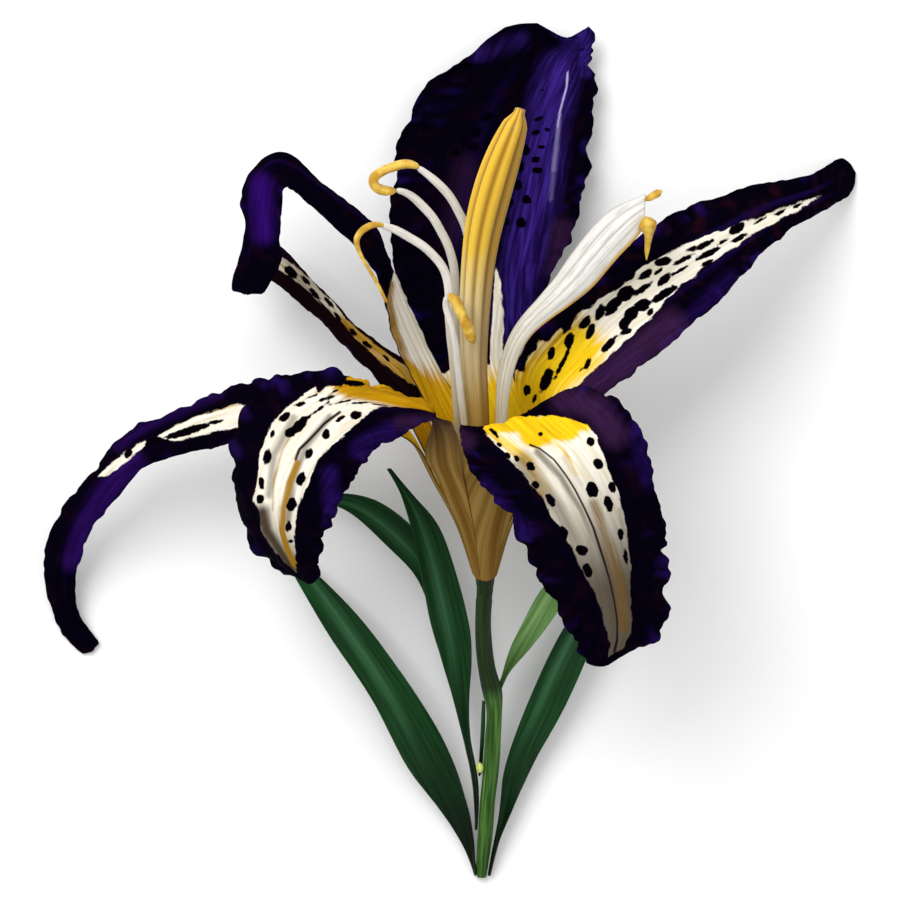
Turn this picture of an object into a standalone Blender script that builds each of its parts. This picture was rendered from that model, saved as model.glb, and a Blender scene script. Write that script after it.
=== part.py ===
"""Cut tiger lily flower lying on its back: seven tepals on a receptacle, pistil, stamens, stem, shoot and leaves."""
import math

import bmesh
import bpy
import numpy as np

# Driving dimensions, in millimetres. Positions in the lists below are (x, y, z) as seen from straight above
# by an eye EYE_HEIGHT over the surface, true to size at SIGHT_LEVEL, and trueSize() turns them into real ones.
EYE_HEIGHT = 1030.0
SIGHT_LEVEL = 30.0
CENTRE_X = 0.2
CENTRE_Y = -0.4
LOWEST_Z = 0.0
TEPAL_THICKNESS = 0.9
LEAF_THICKNESS = 0.8
SLIVER_THICKNESS = 0.5
PISTIL_FLUTES = 4
FLUTE_DEPTH = 0.14
SEAM_GAP = 0.36
RECEPTACLE_AT = np.array([7.0, -25.0, 24.0])
FLOWER_AXIS = np.array([-0.012, 0.935, 0.354])
FUNNEL_HEIGHTS = (0.0, 5.0, 10.7, 18.0, 23.5, 30.0, 34.0)
FUNNEL_RADII = (2.05, 3.5, 5.2, 8.6, 11.2, 14.2, 16.0)
CLAW_HEIGHTS = (0.9, 6.0, 12.0, 18.0, 24.0, 29.0)
RIM_HEIGHT = 29.0

# Steps along and across each sheet, and along and round each tube. The receptacle keeps its own stations.
TEPAL_STEPS = (30, 8)
LEAF_STEPS = (18, 6)
NARROW_SHEET_STEPS = (18, 4)
NARROW_SHEETS = ("leaf_sliver", "filament_right_sheet", "side_shoot")
PISTIL_STEPS = (20, 24)
RECEPTACLE_SIDES = 20
STEM_STEPS = (22, 14)
FILAMENT_STEPS = (18, 8)
SHORT_TUBE_STEPS = (12, 10)

# Claw edges in degrees round the flower axis, 0 facing up and 90 to the right: at the base, then at the rim.
CLAW_EDGES = {
    "tepal_lower_left": ((295.0, 338.0), (300.0, 342.0)),
    "tepal_lower_right": ((-22.0, 42.0), (-18.0, 72.0)),
    "tepal_right": ((100.0, 42.0), (138.0, 72.0)),
    "tepal_top": ((160.0, 100.0), (195.0, 138.0)),
    "tepal_upper_left_arching": ((205.0, 160.0), (227.0, 195.0)),
    "tepal_upper_left_spotted": ((205.0, 250.0), (227.0, 262.0)),
    "tepal_far_left": ((250.0, 295.0), (262.0, 300.0)),
}

# How far each claw edge stands out of the funnel at its rim, so that neighbours lap over each other there.
EDGE_LIFTS = {
    "tepal_lower_left": (-0.4, 0.4),
    "tepal_lower_right": (-0.4, -0.4),
    "tepal_right": (-0.6, 0.5),
    "tepal_top": (0.6, 0.6),
    "tepal_upper_left_arching": (-0.9, -0.5),
    "tepal_upper_left_spotted": (0.8, -0.4),
    "tepal_far_left": (0.4, 0.4),
}

# Ribs across each blade from the rim of the funnel to the tip: one edge, the midrib, the other edge.
BLADE_RIBS = {
    "tepal_lower_left": (
        ((-3.5, 9.2, 41.0), (-3.5, 6.5, 47.5), (-0.6, 6.2, 50.5)),
        ((-12.0, 12.2, 43.0), (-9.5, 8.6, 50.0), (-6.6, 4.4, 54.0)),
        ((-21.0, 15.2, 46.5), (-17.5, 9.2, 54.0), (-12.8, 1.4, 57.0)),
        ((-31.5, 15.2, 50.0), (-25.0, 5.6, 58.0), (-16.6, -2.2, 59.5)),
        ((-39.5, 11.2, 51.5), (-30.0, -0.2, 60.5), (-19.6, -6.2, 60.0)),
        ((-43.2, 3.2, 51.0), (-33.2, -6.5, 61.0), (-21.8, -10.6, 59.5)),
        ((-44.0, -4.8, 49.5), (-34.4, -12.6, 60.0), (-23.8, -14.8, 58.5)),
        ((-42.2, -13.4, 47.5), (-33.6, -18.2, 57.5), (-25.6, -19.0, 56.5)),
        ((-37.6, -21.4, 47.0), (-31.4, -22.8, 54.5), (-26.4, -23.4, 54.0)),
        ((-30.0, -25.8, 49.0), (-28.2, -26.6, 50.5), (-26.6, -26.8, 51.0)),
    ),
    "tepal_lower_right": (
        ((2.0, 5.0, 49.5), (10.5, 5.2, 49.5), (21.5, 10.8, 44.0)),
        ((2.6, 0.5, 54.5), (15.5, 1.6, 56.0), (29.0, 11.8, 50.5)),
        ((5.2, -5.4, 58.0), (20.8, -2.4, 60.5), (35.5, 7.2, 55.5)),
        ((9.4, -10.2, 59.5), (25.0, -8.5, 62.5), (39.8, -0.4, 57.5)),
        ((13.6, -16.6, 59.5), (28.6, -15.6, 63.0), (42.2, -10.5, 57.0)),
        ((16.6, -23.8, 58.0), (31.0, -23.0, 61.5), (42.6, -20.5, 54.5)),
        ((20.6, -31.2, 56.0), (32.6, -30.0, 59.0), (43.4, -28.8, 51.5)),
        ((25.2, -37.8, 54.0), (33.2, -36.0, 56.5), (42.4, -36.2, 50.5)),
        ((28.0, -43.8, 52.0), (31.2, -43.0, 52.8), (35.5, -40.5, 51.5)),
    ),
    "tepal_right": (
        ((12.8, 14.5, 24.0), (20.0, 11.5, 32.0), (24.5, 5.5, 39.5)),
        ((16.5, 23.5, 25.5), (25.5, 18.5, 33.5), (31.5, 11.8, 40.0)),
        ((23.5, 30.4, 27.5), (32.0, 25.5, 34.0), (39.5, 17.6, 39.0)),
        ((32.0, 37.8, 28.5), (40.0, 31.4, 33.0), (47.2, 24.0, 36.5)),
        ((41.5, 45.2, 27.0), (48.6, 37.2, 30.5), (54.4, 30.2, 33.0)),
        ((51.6, 50.0, 23.0), (57.0, 42.6, 26.0), (61.4, 38.0, 27.5)),
        ((62.4, 53.4, 17.5), (65.0, 47.4, 20.0), (67.6, 43.8, 21.0)),
        ((71.0, 54.6, 11.5), (72.0, 50.2, 13.0), (73.4, 47.2, 13.5)),
        ((76.4, 57.6, 5.0), (77.2, 53.0, 5.6), (78.2, 49.8, 6.0)),
        ((79.2, 59.4, 0.8), (80.9, 55.4, 0.5), (81.0, 51.6, 1.0)),
    ),
    "tepal_top": (
        ((-2.0, 14.4, 15.5), (6.6, 16.0, 14.0), (13.4, 17.0, 17.0)),
        ((-6.6, 23.0, 12.5), (5.4, 26.0, 9.8), (16.6, 26.5, 13.5)),
        ((-10.6, 33.0, 11.0), (5.8, 36.0, 7.0), (20.4, 34.5, 10.5)),
        ((-11.6, 44.0, 10.0), (7.6, 46.0, 4.8), (25.2, 45.0, 8.5)),
        ((-11.2, 56.0, 9.0), (10.0, 56.0, 2.3), (27.2, 55.5, 6.6)),
        ((-8.0, 66.0, 8.0), (12.8, 65.5, 0.75), (28.4, 66.0, 5.6)),
        ((-1.6, 74.0, 7.2), (16.4, 74.0, 0.75), (28.8, 74.5, 5.0)),
        ((8.4, 80.8, 6.6), (20.4, 80.4, 3.2), (28.6, 80.6, 5.4)),
        ((21.0, 84.8, 6.5), (25.0, 84.8, 5.5), (28.2, 84.4, 6.0)),
    ),
    "tepal_upper_left_arching": (
        ((-8.6, 16.6, 27.0), (-5.6, 18.0, 22.0), (-3.0, 17.6, 18.4)),
        ((-12.0, 24.6, 28.5), (-9.6, 26.6, 24.5), (-7.4, 27.0, 19.5)),
        ((-13.8, 32.4, 30.5), (-12.4, 34.8, 27.0), (-11.2, 35.6, 22.5)),
        ((-17.6, 39.2, 32.0), (-15.8, 42.2, 29.5), (-14.6, 44.0, 25.5)),
        ((-23.6, 45.0, 33.5), (-21.8, 47.6, 31.5), (-20.2, 49.4, 28.0)),
        ((-29.4, 50.4, 35.0), (-28.4, 52.8, 33.0), (-27.4, 55.0, 29.5)),
        ((-33.0, 52.4, 37.0), (-35.0, 55.4, 34.5), (-35.4, 59.4, 30.5)),
        ((-33.6, 48.6, 38.0), (-37.4, 50.8, 36.0), (-41.4, 53.4, 32.0)),
        ((-34.0, 43.4, 37.5), (-37.6, 44.6, 36.0), (-41.0, 46.4, 32.5)),
        ((-34.4, 38.0, 36.0), (-38.0, 38.4, 35.0), (-41.8, 38.4, 32.0)),
        ((-38.2, 31.6, 32.5), (-40.6, 31.6, 32.5), (-43.4, 32.0, 31.0)),
    ),
    "tepal_upper_left_spotted": (
        ((-7.0, 15.5, 21.0), (-9.5, 11.8, 25.5), (-9.4, 7.6, 30.0)),
        ((-12.5, 20.4, 19.0), (-14.5, 16.8, 23.5), (-14.4, 14.2, 28.0)),
        ((-18.6, 24.8, 17.0), (-20.0, 21.6, 22.0), (-19.6, 19.2, 26.0)),
        ((-24.6, 31.0, 15.0), (-25.4, 27.4, 20.0), (-25.2, 25.2, 23.5)),
        ((-30.4, 37.0, 13.5), (-31.0, 32.8, 18.0), (-30.6, 29.8, 21.0)),
        ((-35.0, 41.0, 12.0), (-35.6, 36.6, 15.5), (-35.2, 33.6, 17.6)),
        ((-40.5, 39.5, 10.5), (-41.0, 37.6, 11.5), (-40.8, 36.0, 12.0)),
    ),
    "tepal_far_left": (
        ((-16.0, 10.5, 30.0), (-15.4, 7.6, 34.6), (-14.0, 4.2, 38.0)),
        ((-27.0, 13.6, 27.5), (-26.0, 9.6, 32.8), (-24.5, 5.2, 36.0)),
        ((-37.0, 14.0, 25.5), (-36.0, 9.4, 30.8), (-35.0, 4.4, 33.6)),
        ((-44.5, 12.2, 24.0), (-43.8, 7.4, 28.8), (-43.2, 1.6, 31.0)),
        ((-52.5, 9.2, 22.0), (-51.6, 4.8, 26.0), (-50.0, 0.0, 27.8)),
        ((-60.0, 5.8, 19.5), (-58.6, 2.0, 23.0), (-57.0, -1.9, 24.4)),
        ((-66.4, 1.6, 17.0), (-64.8, -1.6, 20.0), (-61.8, -4.0, 21.0)),
        ((-71.6, -4.6, 14.5), (-69.4, -6.4, 17.0), (-66.4, -9.2, 17.8)),
        ((-76.6, -10.2, 11.5), (-73.4, -11.6, 14.0), (-70.0, -13.6, 14.6)),
        ((-80.0, -16.8, 8.5), (-76.4, -17.4, 10.8), (-72.6, -18.0, 11.0)),
        ((-81.2, -23.4, 5.6), (-78.0, -23.8, 7.6), (-74.6, -24.0, 7.6)),
        ((-80.2, -30.0, 3.0), (-77.8, -30.0, 4.8), (-75.0, -30.0, 4.6)),
        ((-77.6, -36.4, 1.3), (-75.6, -35.4, 2.6), (-73.2, -34.4, 2.2)),
        ((-72.8, -40.8, 0.45), (-71.6, -40.2, 1.0), (-70.0, -39.0, 0.8)),
    ),
}

# Leaves and the side shoot: ribs from the stem to the tip, and the white sheet of fused filaments on the right.
LEAF_RIBS = {
    "leaf_lower_left": (
        ((4.3, -83.2, 1.6), (4.5, -82.8, 2.6), (4.9, -82.4, 3.6)),
        ((3.0, -80.0, 2.6), (3.9, -79.6, 3.0), (4.8, -79.2, 3.8)),
        ((-2.0, -72.0, 4.6), (0.9, -71.6, 4.6), (3.4, -71.0, 5.6)),
        ((-8.0, -64.2, 6.8), (-3.8, -62.6, 6.4), (0.0, -61.0, 7.4)),
        ((-14.4, -52.0, 9.0), (-10.2, -50.6, 8.2), (-6.2, -49.8, 9.2)),
        ((-20.8, -42.0, 10.0), (-16.8, -40.2, 9.0), (-12.6, -40.6, 9.8)),
        ((-26.4, -33.4, 9.4), (-23.2, -31.0, 8.4), (-19.4, -32.2, 9.0)),
        ((-31.0, -25.4, 7.6), (-28.8, -24.0, 6.9), (-26.4, -25.2, 7.4)),
        ((-35.2, -18.2, 5.4), (-34.6, -17.8, 5.2), (-34.0, -18.4, 5.4)),
    ),
    "leaf_centre_left": (
        ((4.6, -66.4, 4.6), (5.1, -66.2, 6.0), (5.6, -66.0, 7.2)),
        ((2.6, -57.4, 8.4), (3.3, -57.4, 8.4), (4.0, -57.6, 9.4)),
        ((-0.4, -46.0, 11.4), (1.9, -46.0, 10.8), (4.0, -46.0, 11.6)),
        ((-3.4, -36.0, 13.8), (0.4, -36.0, 12.8), (4.0, -37.0, 13.6)),
        ((-5.8, -25.0, 15.2), (-2.2, -25.0, 14.2), (1.0, -24.0, 15.0)),
        ((-8.2, -14.0, 15.6), (-5.6, -14.2, 14.8), (-3.0, -14.2, 15.4)),
        ((-10.6, -7.2, 15.6), (-9.4, -7.6, 15.2), (-7.8, -8.6, 15.4)),
        ((-12.6, -3.8, 15.4), (-12.2, -3.7, 15.3), (-11.8, -3.9, 15.4)),
    ),
    "leaf_behind": (
        ((3.4, -63.2, 4.6), (4.0, -62.8, 5.0), (4.6, -62.4, 5.4)),
        ((0.8, -50.0, 6.6), (2.0, -49.4, 6.4), (3.2, -49.0, 6.8)),
        ((-2.6, -37.0, 8.4), (-0.8, -36.0, 8.0), (1.0, -35.2, 8.4)),
        ((-6.8, -25.4, 9.6), (-4.8, -23.4, 9.2), (-2.6, -22.0, 9.6)),
        ((-13.2, -18.6, 10.2), (-11.6, -15.6, 9.8), (-9.2, -13.8, 10.2)),
        ((-20.0, -12.6, 10.2), (-19.0, -10.8, 9.8), (-17.6, -9.2, 10.2)),
        ((-27.0, -9.8, 9.4), (-26.8, -9.3, 9.4), (-26.4, -8.8, 9.4)),
    ),
    "leaf_lower_right": (
        ((8.6, -84.4, 1.4), (8.9, -84.2, 2.2), (8.9, -83.8, 3.4)),
        ((9.1, -79.0, 2.4), (9.5, -79.2, 3.0), (9.7, -79.0, 4.2)),
        ((9.9, -71.8, 3.8), (11.2, -72.0, 4.0), (12.5, -71.8, 5.0)),
        ((10.8, -64.4, 5.2), (13.2, -63.6, 5.0), (16.2, -63.6, 5.8)),
        ((13.8, -55.2, 6.8), (17.4, -54.0, 6.2), (21.2, -54.6, 6.8)),
        ((18.0, -45.0, 8.0), (21.8, -44.0, 7.4), (25.2, -46.6, 7.8)),
        ((23.0, -35.2, 8.2), (26.2, -35.0, 7.8), (28.6, -38.4, 8.0)),
        ((28.4, -27.6, 7.6), (29.8, -27.4, 7.3), (31.4, -29.4, 7.6)),
        ((32.4, -22.2, 6.6), (32.8, -22.0, 6.6), (33.2, -22.4, 6.6)),
    ),
    "leaf_sliver": (
        ((5.8, -65.2, 4.4), (6.1, -64.8, 4.0), (6.3, -64.4, 3.6)),
        ((5.9, -60.4, 6.2), (6.3, -60.4, 6.2), (6.7, -60.4, 6.2)),
        ((6.2, -55.2, 8.4), (6.6, -55.2, 8.3), (7.0, -55.2, 8.2)),
        ((6.4, -50.2, 10.4), (6.7, -50.2, 10.4), (7.0, -50.2, 10.4)),
    ),
    "side_shoot": (
        ((10.4, -47.0, 11.8), (10.9, -47.2, 12.6), (11.2, -47.6, 13.6)),
        ((10.9, -43.8, 13.6), (11.7, -44.2, 14.0), (12.5, -44.4, 14.8)),
        ((13.0, -39.0, 15.2), (14.0, -39.6, 15.0), (15.1, -40.4, 15.8)),
        ((16.2, -34.0, 16.0), (17.6, -34.6, 15.6), (19.4, -35.4, 16.0)),
        ((19.8, -27.6, 16.0), (21.4, -28.0, 15.6), (23.0, -29.4, 16.0)),
        ((24.6, -21.8, 15.0), (25.0, -21.8, 15.0), (25.4, -22.2, 15.0)),
    ),
    "filament_right_sheet": (
        ((7.6, -13.0, 30.4), (8.2, -13.2, 31.0), (8.9, -13.0, 31.6)),
        ((9.0, -3.0, 34.0), (9.9, -3.2, 34.8), (10.8, -3.0, 35.2)),
        ((9.2, 8.0, 37.0), (10.4, 7.8, 38.0), (11.5, 7.6, 38.2)),
        ((9.8, 15.6, 38.4), (11.2, 15.4, 39.6), (12.6, 15.2, 39.8)),
        ((13.0, 24.6, 39.6), (14.6, 23.6, 41.2), (16.0, 22.6, 41.2)),
        ((18.0, 30.6, 40.4), (20.0, 29.0, 42.4), (21.6, 27.4, 42.2)),
        ((23.6, 38.0, 40.8), (26.0, 35.2, 43.4), (28.2, 32.4, 43.0)),
        ((29.4, 45.4, 41.2), (31.6, 41.8, 44.0), (33.4, 38.4, 43.8)),
        ((35.4, 49.6, 41.8), (36.6, 46.6, 44.0), (37.6, 43.0, 44.0)),
        ((38.8, 50.6, 42.6), (38.9, 48.8, 43.4), (39.0, 47.2, 43.6)),
    ),
}

# Round pieces: a centreline point and the radius there, from the base up.
TUBES = {
    "pistil": (
        ((7.0, -20.6, 25.7), 1.0),
        ((6.6, -12.0, 28.8), 1.3),
        ((6.0, -2.0, 32.2), 1.9),
        ((5.6, 5.0, 34.6), 2.4),
        ((5.2, 10.0, 36.2), 2.65),
        ((4.7, 17.0, 38.4), 2.9),
        ((4.5, 24.0, 40.4), 3.3),
        ((4.7, 31.0, 42.4), 3.7),
        ((5.3, 38.0, 44.2), 3.9),
        ((6.4, 45.0, 45.8), 4.1),
        ((8.0, 51.5, 47.4), 4.2),
        ((10.0, 57.6, 48.8), 4.0),
        ((12.0, 62.6, 50.0), 3.3),
        ((13.6, 66.4, 50.8), 2.2),
        ((14.3, 68.0, 51.2), 1.0),
    ),
    "filament_upper": (
        ((5.9, -15.0, 25.2), 0.55),
        ((5.0, -5.0, 28.4), 0.65),
        ((4.6, 8.0, 31.0), 0.7),
        ((4.2, 22.0, 34.0), 0.75),
        ((4.4, 34.0, 37.0), 0.8),
        ((3.4, 43.6, 40.6), 0.8),
        ((1.0, 49.0, 43.4), 0.8),
        ((-0.9, 51.8, 44.8), 0.8),
        ((-3.2, 54.0, 46.0), 0.75),
        ((-5.4, 55.8, 46.6), 0.6),
    ),
    "filament_middle": (
        ((4.2, -13.0, 27.8), 0.55),
        ((3.0, -4.0, 29.8), 0.65),
        ((2.6, 8.0, 32.2), 0.7),
        ((1.9, 20.0, 35.4), 0.75),
        ((1.1, 30.0, 37.6), 0.8),
        ((0.5, 38.0, 39.4), 0.8),
        ((-1.4, 43.0, 41.6), 0.8),
        ((-3.7, 46.8, 43.2), 0.8),
        ((-6.3, 49.6, 44.6), 0.8),
        ((-9.5, 51.7, 46.4), 0.6),
    ),
    "filament_lower": (
        ((3.8, -11.0, 30.4), 0.55),
        ((2.2, -2.0, 32.2), 0.65),
        ((1.2, 10.0, 35.6), 0.7),
        ((0.4, 20.0, 39.6), 0.75),
        ((-0.2, 28.0, 42.2), 0.8),
        ((-0.8, 35.0, 43.4), 0.8),
        ((-4.0, 39.6, 44.8), 0.8),
        ((-8.4, 42.7, 46.0), 0.8),
        ((-12.4, 44.6, 46.8), 0.65),
    ),
    "filament_front": (
        ((5.2, -9.0, 31.9), 0.5),
        ((3.6, 0.0, 36.4), 0.6),
        ((2.4, 9.0, 39.8), 0.65),
        ((1.4, 18.0, 43.4), 0.65),
        ((0.2, 25.4, 46.6), 0.65),
        ((-0.8, 29.4, 47.4), 0.6),
    ),
    "anther_curled": (
        ((-6.0, 56.4, 46.8), 0.6),
        ((-8.2, 57.6, 47.6), 1.0),
        ((-11.2, 57.3, 48.2), 1.15),
        ((-14.0, 56.0, 48.4), 1.15),
        ((-15.5, 54.0, 48.4), 1.1),
        ((-15.0, 52.1, 48.0), 1.0),
        ((-13.0, 51.2, 47.4), 0.95),
        ((-10.6, 51.9, 47.1), 0.6),
    ),
    "anther_hanging": (
        ((-13.1, 44.9, 47.2), 0.5),
        ((-15.4, 45.2, 48.3), 0.85),
        ((-17.4, 44.4, 48.6), 1.0),
        ((-18.8, 42.3, 48.6), 0.95),
        ((-18.2, 39.6, 48.0), 0.75),
        ((-16.6, 36.8, 47.0), 0.65),
        ((-14.6, 33.4, 45.6), 0.6),
        ((-12.6, 29.4, 43.6), 0.45),
    ),
    "anther_front": (
        ((-0.5, 31.2, 48.6), 0.7),
        ((0.8, 30.2, 49.0), 1.25),
        ((2.0, 28.0, 48.8), 1.3),
        ((3.3, 25.0, 47.8), 1.35),
        ((4.3, 22.4, 46.6), 1.15),
        ((4.8, 21.2, 46.0), 0.6),
    ),
    "anther_right_knob": (
        ((39.7, 50.2, 43.4), 0.55),
        ((40.6, 50.8, 43.8), 0.8),
        ((41.8, 51.5, 44.0), 0.85),
        ((42.5, 51.9, 44.0), 0.5),
    ),
    "anther_right_drooping": (
        ((39.4, 46.6, 44.2), 0.5),
        ((39.6, 45.6, 44.6), 1.1),
        ((39.8, 43.8, 44.4), 0.95),
        ((39.5, 41.0, 43.4), 0.6),
        ((39.3, 38.0, 42.2), 0.4),
    ),
    "receptacle": (
        ((6.95, -28.0, 22.86), 1.72),
        ((6.97, -27.0, 23.24), 1.9),
        ((6.99, -25.6, 23.77), 2.5),
        ((7.0, -24.85, 24.06), 2.55),
        ((7.0, -24.65, 24.13), 1.2),
        ((7.0, -23.0, 24.76), 1.15),
        ((7.0, -21.4, 25.36), 0.8),
    ),
    "stem": (
        ((6.4, -85.4, 1.5), 1.5),
        ((6.9, -78.0, 3.0), 1.5),
        ((7.5, -70.0, 5.0), 1.5),
        ((8.1, -64.4, 7.0), 1.6),
        ((8.7, -57.0, 9.8), 1.65),
        ((8.9, -51.6, 12.2), 1.7),
        ((8.2, -47.6, 14.2), 2.1),
        ((7.6, -44.4, 15.8), 1.8),
        ((6.8, -39.4, 18.2), 1.7),
        ((6.6, -34.0, 20.5), 1.6),
        ((6.9, -28.4, 22.72), 1.7),
    ),
    "axillary_bud": (
        ((6.1, -64.6, 8.3), 0.35),
        ((6.0, -64.0, 8.6), 0.65),
        ((5.9, -63.1, 9.0), 0.7),
        ((5.8, -62.4, 9.3), 0.35),
    ),
}

# Colour as red, green and blue from 0 to 1, then roughness.
MATERIALS = {
    "dark_tepal": ((0.05, 0.02, 0.14), 0.6),
    "pale_filament": ((0.82, 0.8, 0.74), 0.5),
    "yellow_anther": ((0.83, 0.55, 0.08), 0.65),
    "cream_pistil": ((0.86, 0.72, 0.36), 0.5),
    "green_stem": ((0.16, 0.3, 0.07), 0.5),
    "green_leaf": ((0.04, 0.16, 0.06), 0.5),
    "light_shoot": ((0.35, 0.5, 0.25), 0.5),
}
SLOTS = {
    "pistil": "cream_pistil",
    "receptacle": "green_stem",
    "stem": "green_stem",
    "axillary_bud": "light_shoot",
    "side_shoot": "light_shoot",
}


def trueSize(points):
    """Real position in metres of points given as seen from the eye."""
    points = np.asarray(points, float)
    spread = (EYE_HEIGHT - points[..., 2:3]) / (EYE_HEIGHT - SIGHT_LEVEL)
    real = np.concatenate([points[..., :2] * spread, points[..., 2:3]], -1)
    return (real - np.array([CENTRE_X, CENTRE_Y, LOWEST_Z])) / 1000


def smooth(knots, values, at):
    """Natural cubic spline through the values at the knots."""
    count = len(knots)
    flat = np.asarray(values, float).reshape(count, -1)
    step = np.diff(knots)
    rise = np.diff(flat, axis=0) / step[:, None]
    system = np.eye(count)
    wanted = np.zeros_like(flat)
    for i in range(1, count - 1):
        system[i, i - 1 : i + 2] = (step[i - 1], 2 * (step[i - 1] + step[i]), step[i])
        wanted[i] = 6 * (rise[i] - rise[i - 1])
    bend = np.linalg.solve(system, wanted)
    k = np.clip(np.searchsorted(knots, at) - 1, 0, count - 2)
    low, high, h = at - knots[k], knots[k + 1] - at, step[k]
    part = bend[k] * (high**3)[:, None] + bend[k + 1] * (low**3)[:, None]
    part = part / (6 * h)[:, None]
    part += (flat[k] / h[:, None] - bend[k] * h[:, None] / 6) * high[:, None]
    part += (flat[k + 1] / h[:, None] - bend[k + 1] * h[:, None] / 6) * low[:, None]
    return part.reshape((len(at),) + np.shape(values)[1:])


def clawRib(name, height):
    """Rib of a claw on the funnel: points on a circle round the flower axis at this height along it."""
    axis = FLOWER_AXIS / np.linalg.norm(FLOWER_AXIS)
    right = np.array([1.0, 0.0, 0.0])
    right = right - axis * (right @ axis)
    right /= np.linalg.norm(right)
    up = np.cross(right, axis)
    radius = np.interp(height, FUNNEL_HEIGHTS, FUNNEL_RADII)
    share = height / RIM_HEIGHT
    base, rim = (np.radians(edges) for edges in CLAW_EDGES[name])
    ends = base * (1 - share) + rim * share
    inset = math.copysign(0.5 * SEAM_GAP / radius, ends[1] - ends[0])
    angles = (ends[0] + inset, ends.mean(), ends[1] - inset)
    centre = RECEPTACLE_AT + axis * height
    lifts = np.array(EDGE_LIFTS[name]) * share**2
    radii = (radius + lifts[0], radius + lifts.mean() / 2, radius + lifts[1])
    return [centre + r * (math.sin(a) * right + math.cos(a) * up) for a, r in zip(angles, radii)]


def addObject(name, verts, faces):
    mesh = bpy.data.meshes.new(name)
    mesh.from_pydata(verts.tolist(), [], faces)
    work = bmesh.new()
    work.from_mesh(mesh)
    bmesh.ops.recalc_face_normals(work, faces=work.faces)
    bmesh.ops.triangulate(work, faces=work.faces)
    work.to_mesh(mesh)
    work.free()
    for face in mesh.polygons:
        face.use_smooth = True
    item = bpy.data.objects.new(name, mesh)
    bpy.context.collection.objects.link(item)
    if name.startswith("filament"):
        slot = "pale_filament"
    elif name.startswith("anther"):
        slot = "yellow_anther"
    elif name.startswith("leaf"):
        slot = "green_leaf"
    else:
        slot = SLOTS.get(name, "dark_tepal")
    mesh.materials.append(materials[slot])
    return item


def sheet(name, ribs, thickness, along, across):
    """Closed sheet: a smooth surface through the ribs, thickened evenly to both sides."""
    ribs = np.asarray(ribs, float)
    steps = np.linalg.norm(np.diff(ribs[:, 1], axis=0), axis=1)
    knots = np.concatenate([[0.0], np.cumsum(steps)])
    s = np.linspace(0, knots[-1], along + 1)
    rails = smooth(knots, ribs, s)
    t = np.linspace(-1, 1, across + 1)[None, :, None]
    one, mid, two = (rails[:, None, i] for i in range(3))
    surface = mid + t * (two - one) / 2 + t * t * ((one + two) / 2 - mid)
    ahead = np.gradient(surface, axis=0)
    aside = np.gradient(surface, axis=1)
    normal = np.cross(ahead, aside)
    normal /= np.linalg.norm(normal, axis=2, keepdims=True)
    top = surface + normal * thickness / 2
    under = surface - normal * thickness / 2
    verts = trueSize(np.concatenate([top.reshape(-1, 3), under.reshape(-1, 3)]))
    rows, cols = along + 1, across + 1
    number = np.arange(rows * cols).reshape(rows, cols)
    low = number + rows * cols
    faces = []
    for i in range(along):
        for j in range(across):
            faces.append((number[i, j], number[i, j + 1], number[i + 1, j + 1], number[i + 1, j]))
            faces.append((low[i, j], low[i + 1, j], low[i + 1, j + 1], low[i, j + 1]))
    for i in range(along):
        faces.append((number[i, 0], number[i + 1, 0], low[i + 1, 0], low[i, 0]))
        faces.append((number[i + 1, -1], number[i, -1], low[i, -1], low[i + 1, -1]))
    for j in range(across):
        faces.append((number[0, j + 1], number[0, j], low[0, j], low[0, j + 1]))
        faces.append((number[-1, j], number[-1, j + 1], low[-1, j + 1], low[-1, j]))
    return addObject(name, verts, [tuple(int(i) for i in face) for face in faces])


def tube(name, stations, along, sides, flutes=0, fluteDepth=0.0, straight=False):
    """Closed round piece along a smooth line, or straight between its stations, its radius dipping at each flute."""
    points = np.array([station[0] for station in stations])
    radii = np.array([station[1] for station in stations])
    knots = np.concatenate([[0.0], np.cumsum(np.linalg.norm(np.diff(points, axis=0), axis=1))])
    if straight:
        line, radius = points, radii
    else:
        s = np.linspace(0, knots[-1], along + 1)
        line = smooth(knots, points, s)
        radius = np.interp(s, knots, radii)
    ahead = np.gradient(line, axis=0)
    ahead /= np.linalg.norm(ahead, axis=1, keepdims=True)
    side = np.cross(ahead[0], (0.0, 0.0, 1.0))
    rings = []
    turn = np.linspace(0, 2 * math.pi, sides, endpoint=False)[:, None]
    shape = 1 - fluteDepth * (0.5 - 0.5 * np.cos(flutes * turn))
    for point, way, r in zip(line, ahead, radius):
        side = side - way * (side @ way)
        side /= np.linalg.norm(side)
        other = np.cross(way, side)
        rings.append(point + r * shape * (np.cos(turn) * side + np.sin(turn) * other))
    verts = trueSize(np.concatenate(rings))
    faces = [tuple(range(sides)), tuple(range(len(verts) - 1, len(verts) - sides - 1, -1))]
    for i in range(len(line) - 1):
        for j in range(sides):
            k = (j + 1) % sides
            faces.append((i * sides + j, i * sides + k, (i + 1) * sides + k, (i + 1) * sides + j))
    return addObject(name, verts, faces)


for item in list(bpy.data.objects):
    bpy.data.objects.remove(item, do_unlink=True)

materials = {}
for slot, (colour, roughness) in MATERIALS.items():
    material = bpy.data.materials.new(slot)
    material.use_nodes = True
    shader = material.node_tree.nodes["Principled BSDF"]
    shader.inputs["Base Color"].default_value = (*colour, 1.0)
    shader.inputs["Roughness"].default_value = roughness
    shader.inputs["Metallic"].default_value = 0.0
    materials[slot] = material

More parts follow.
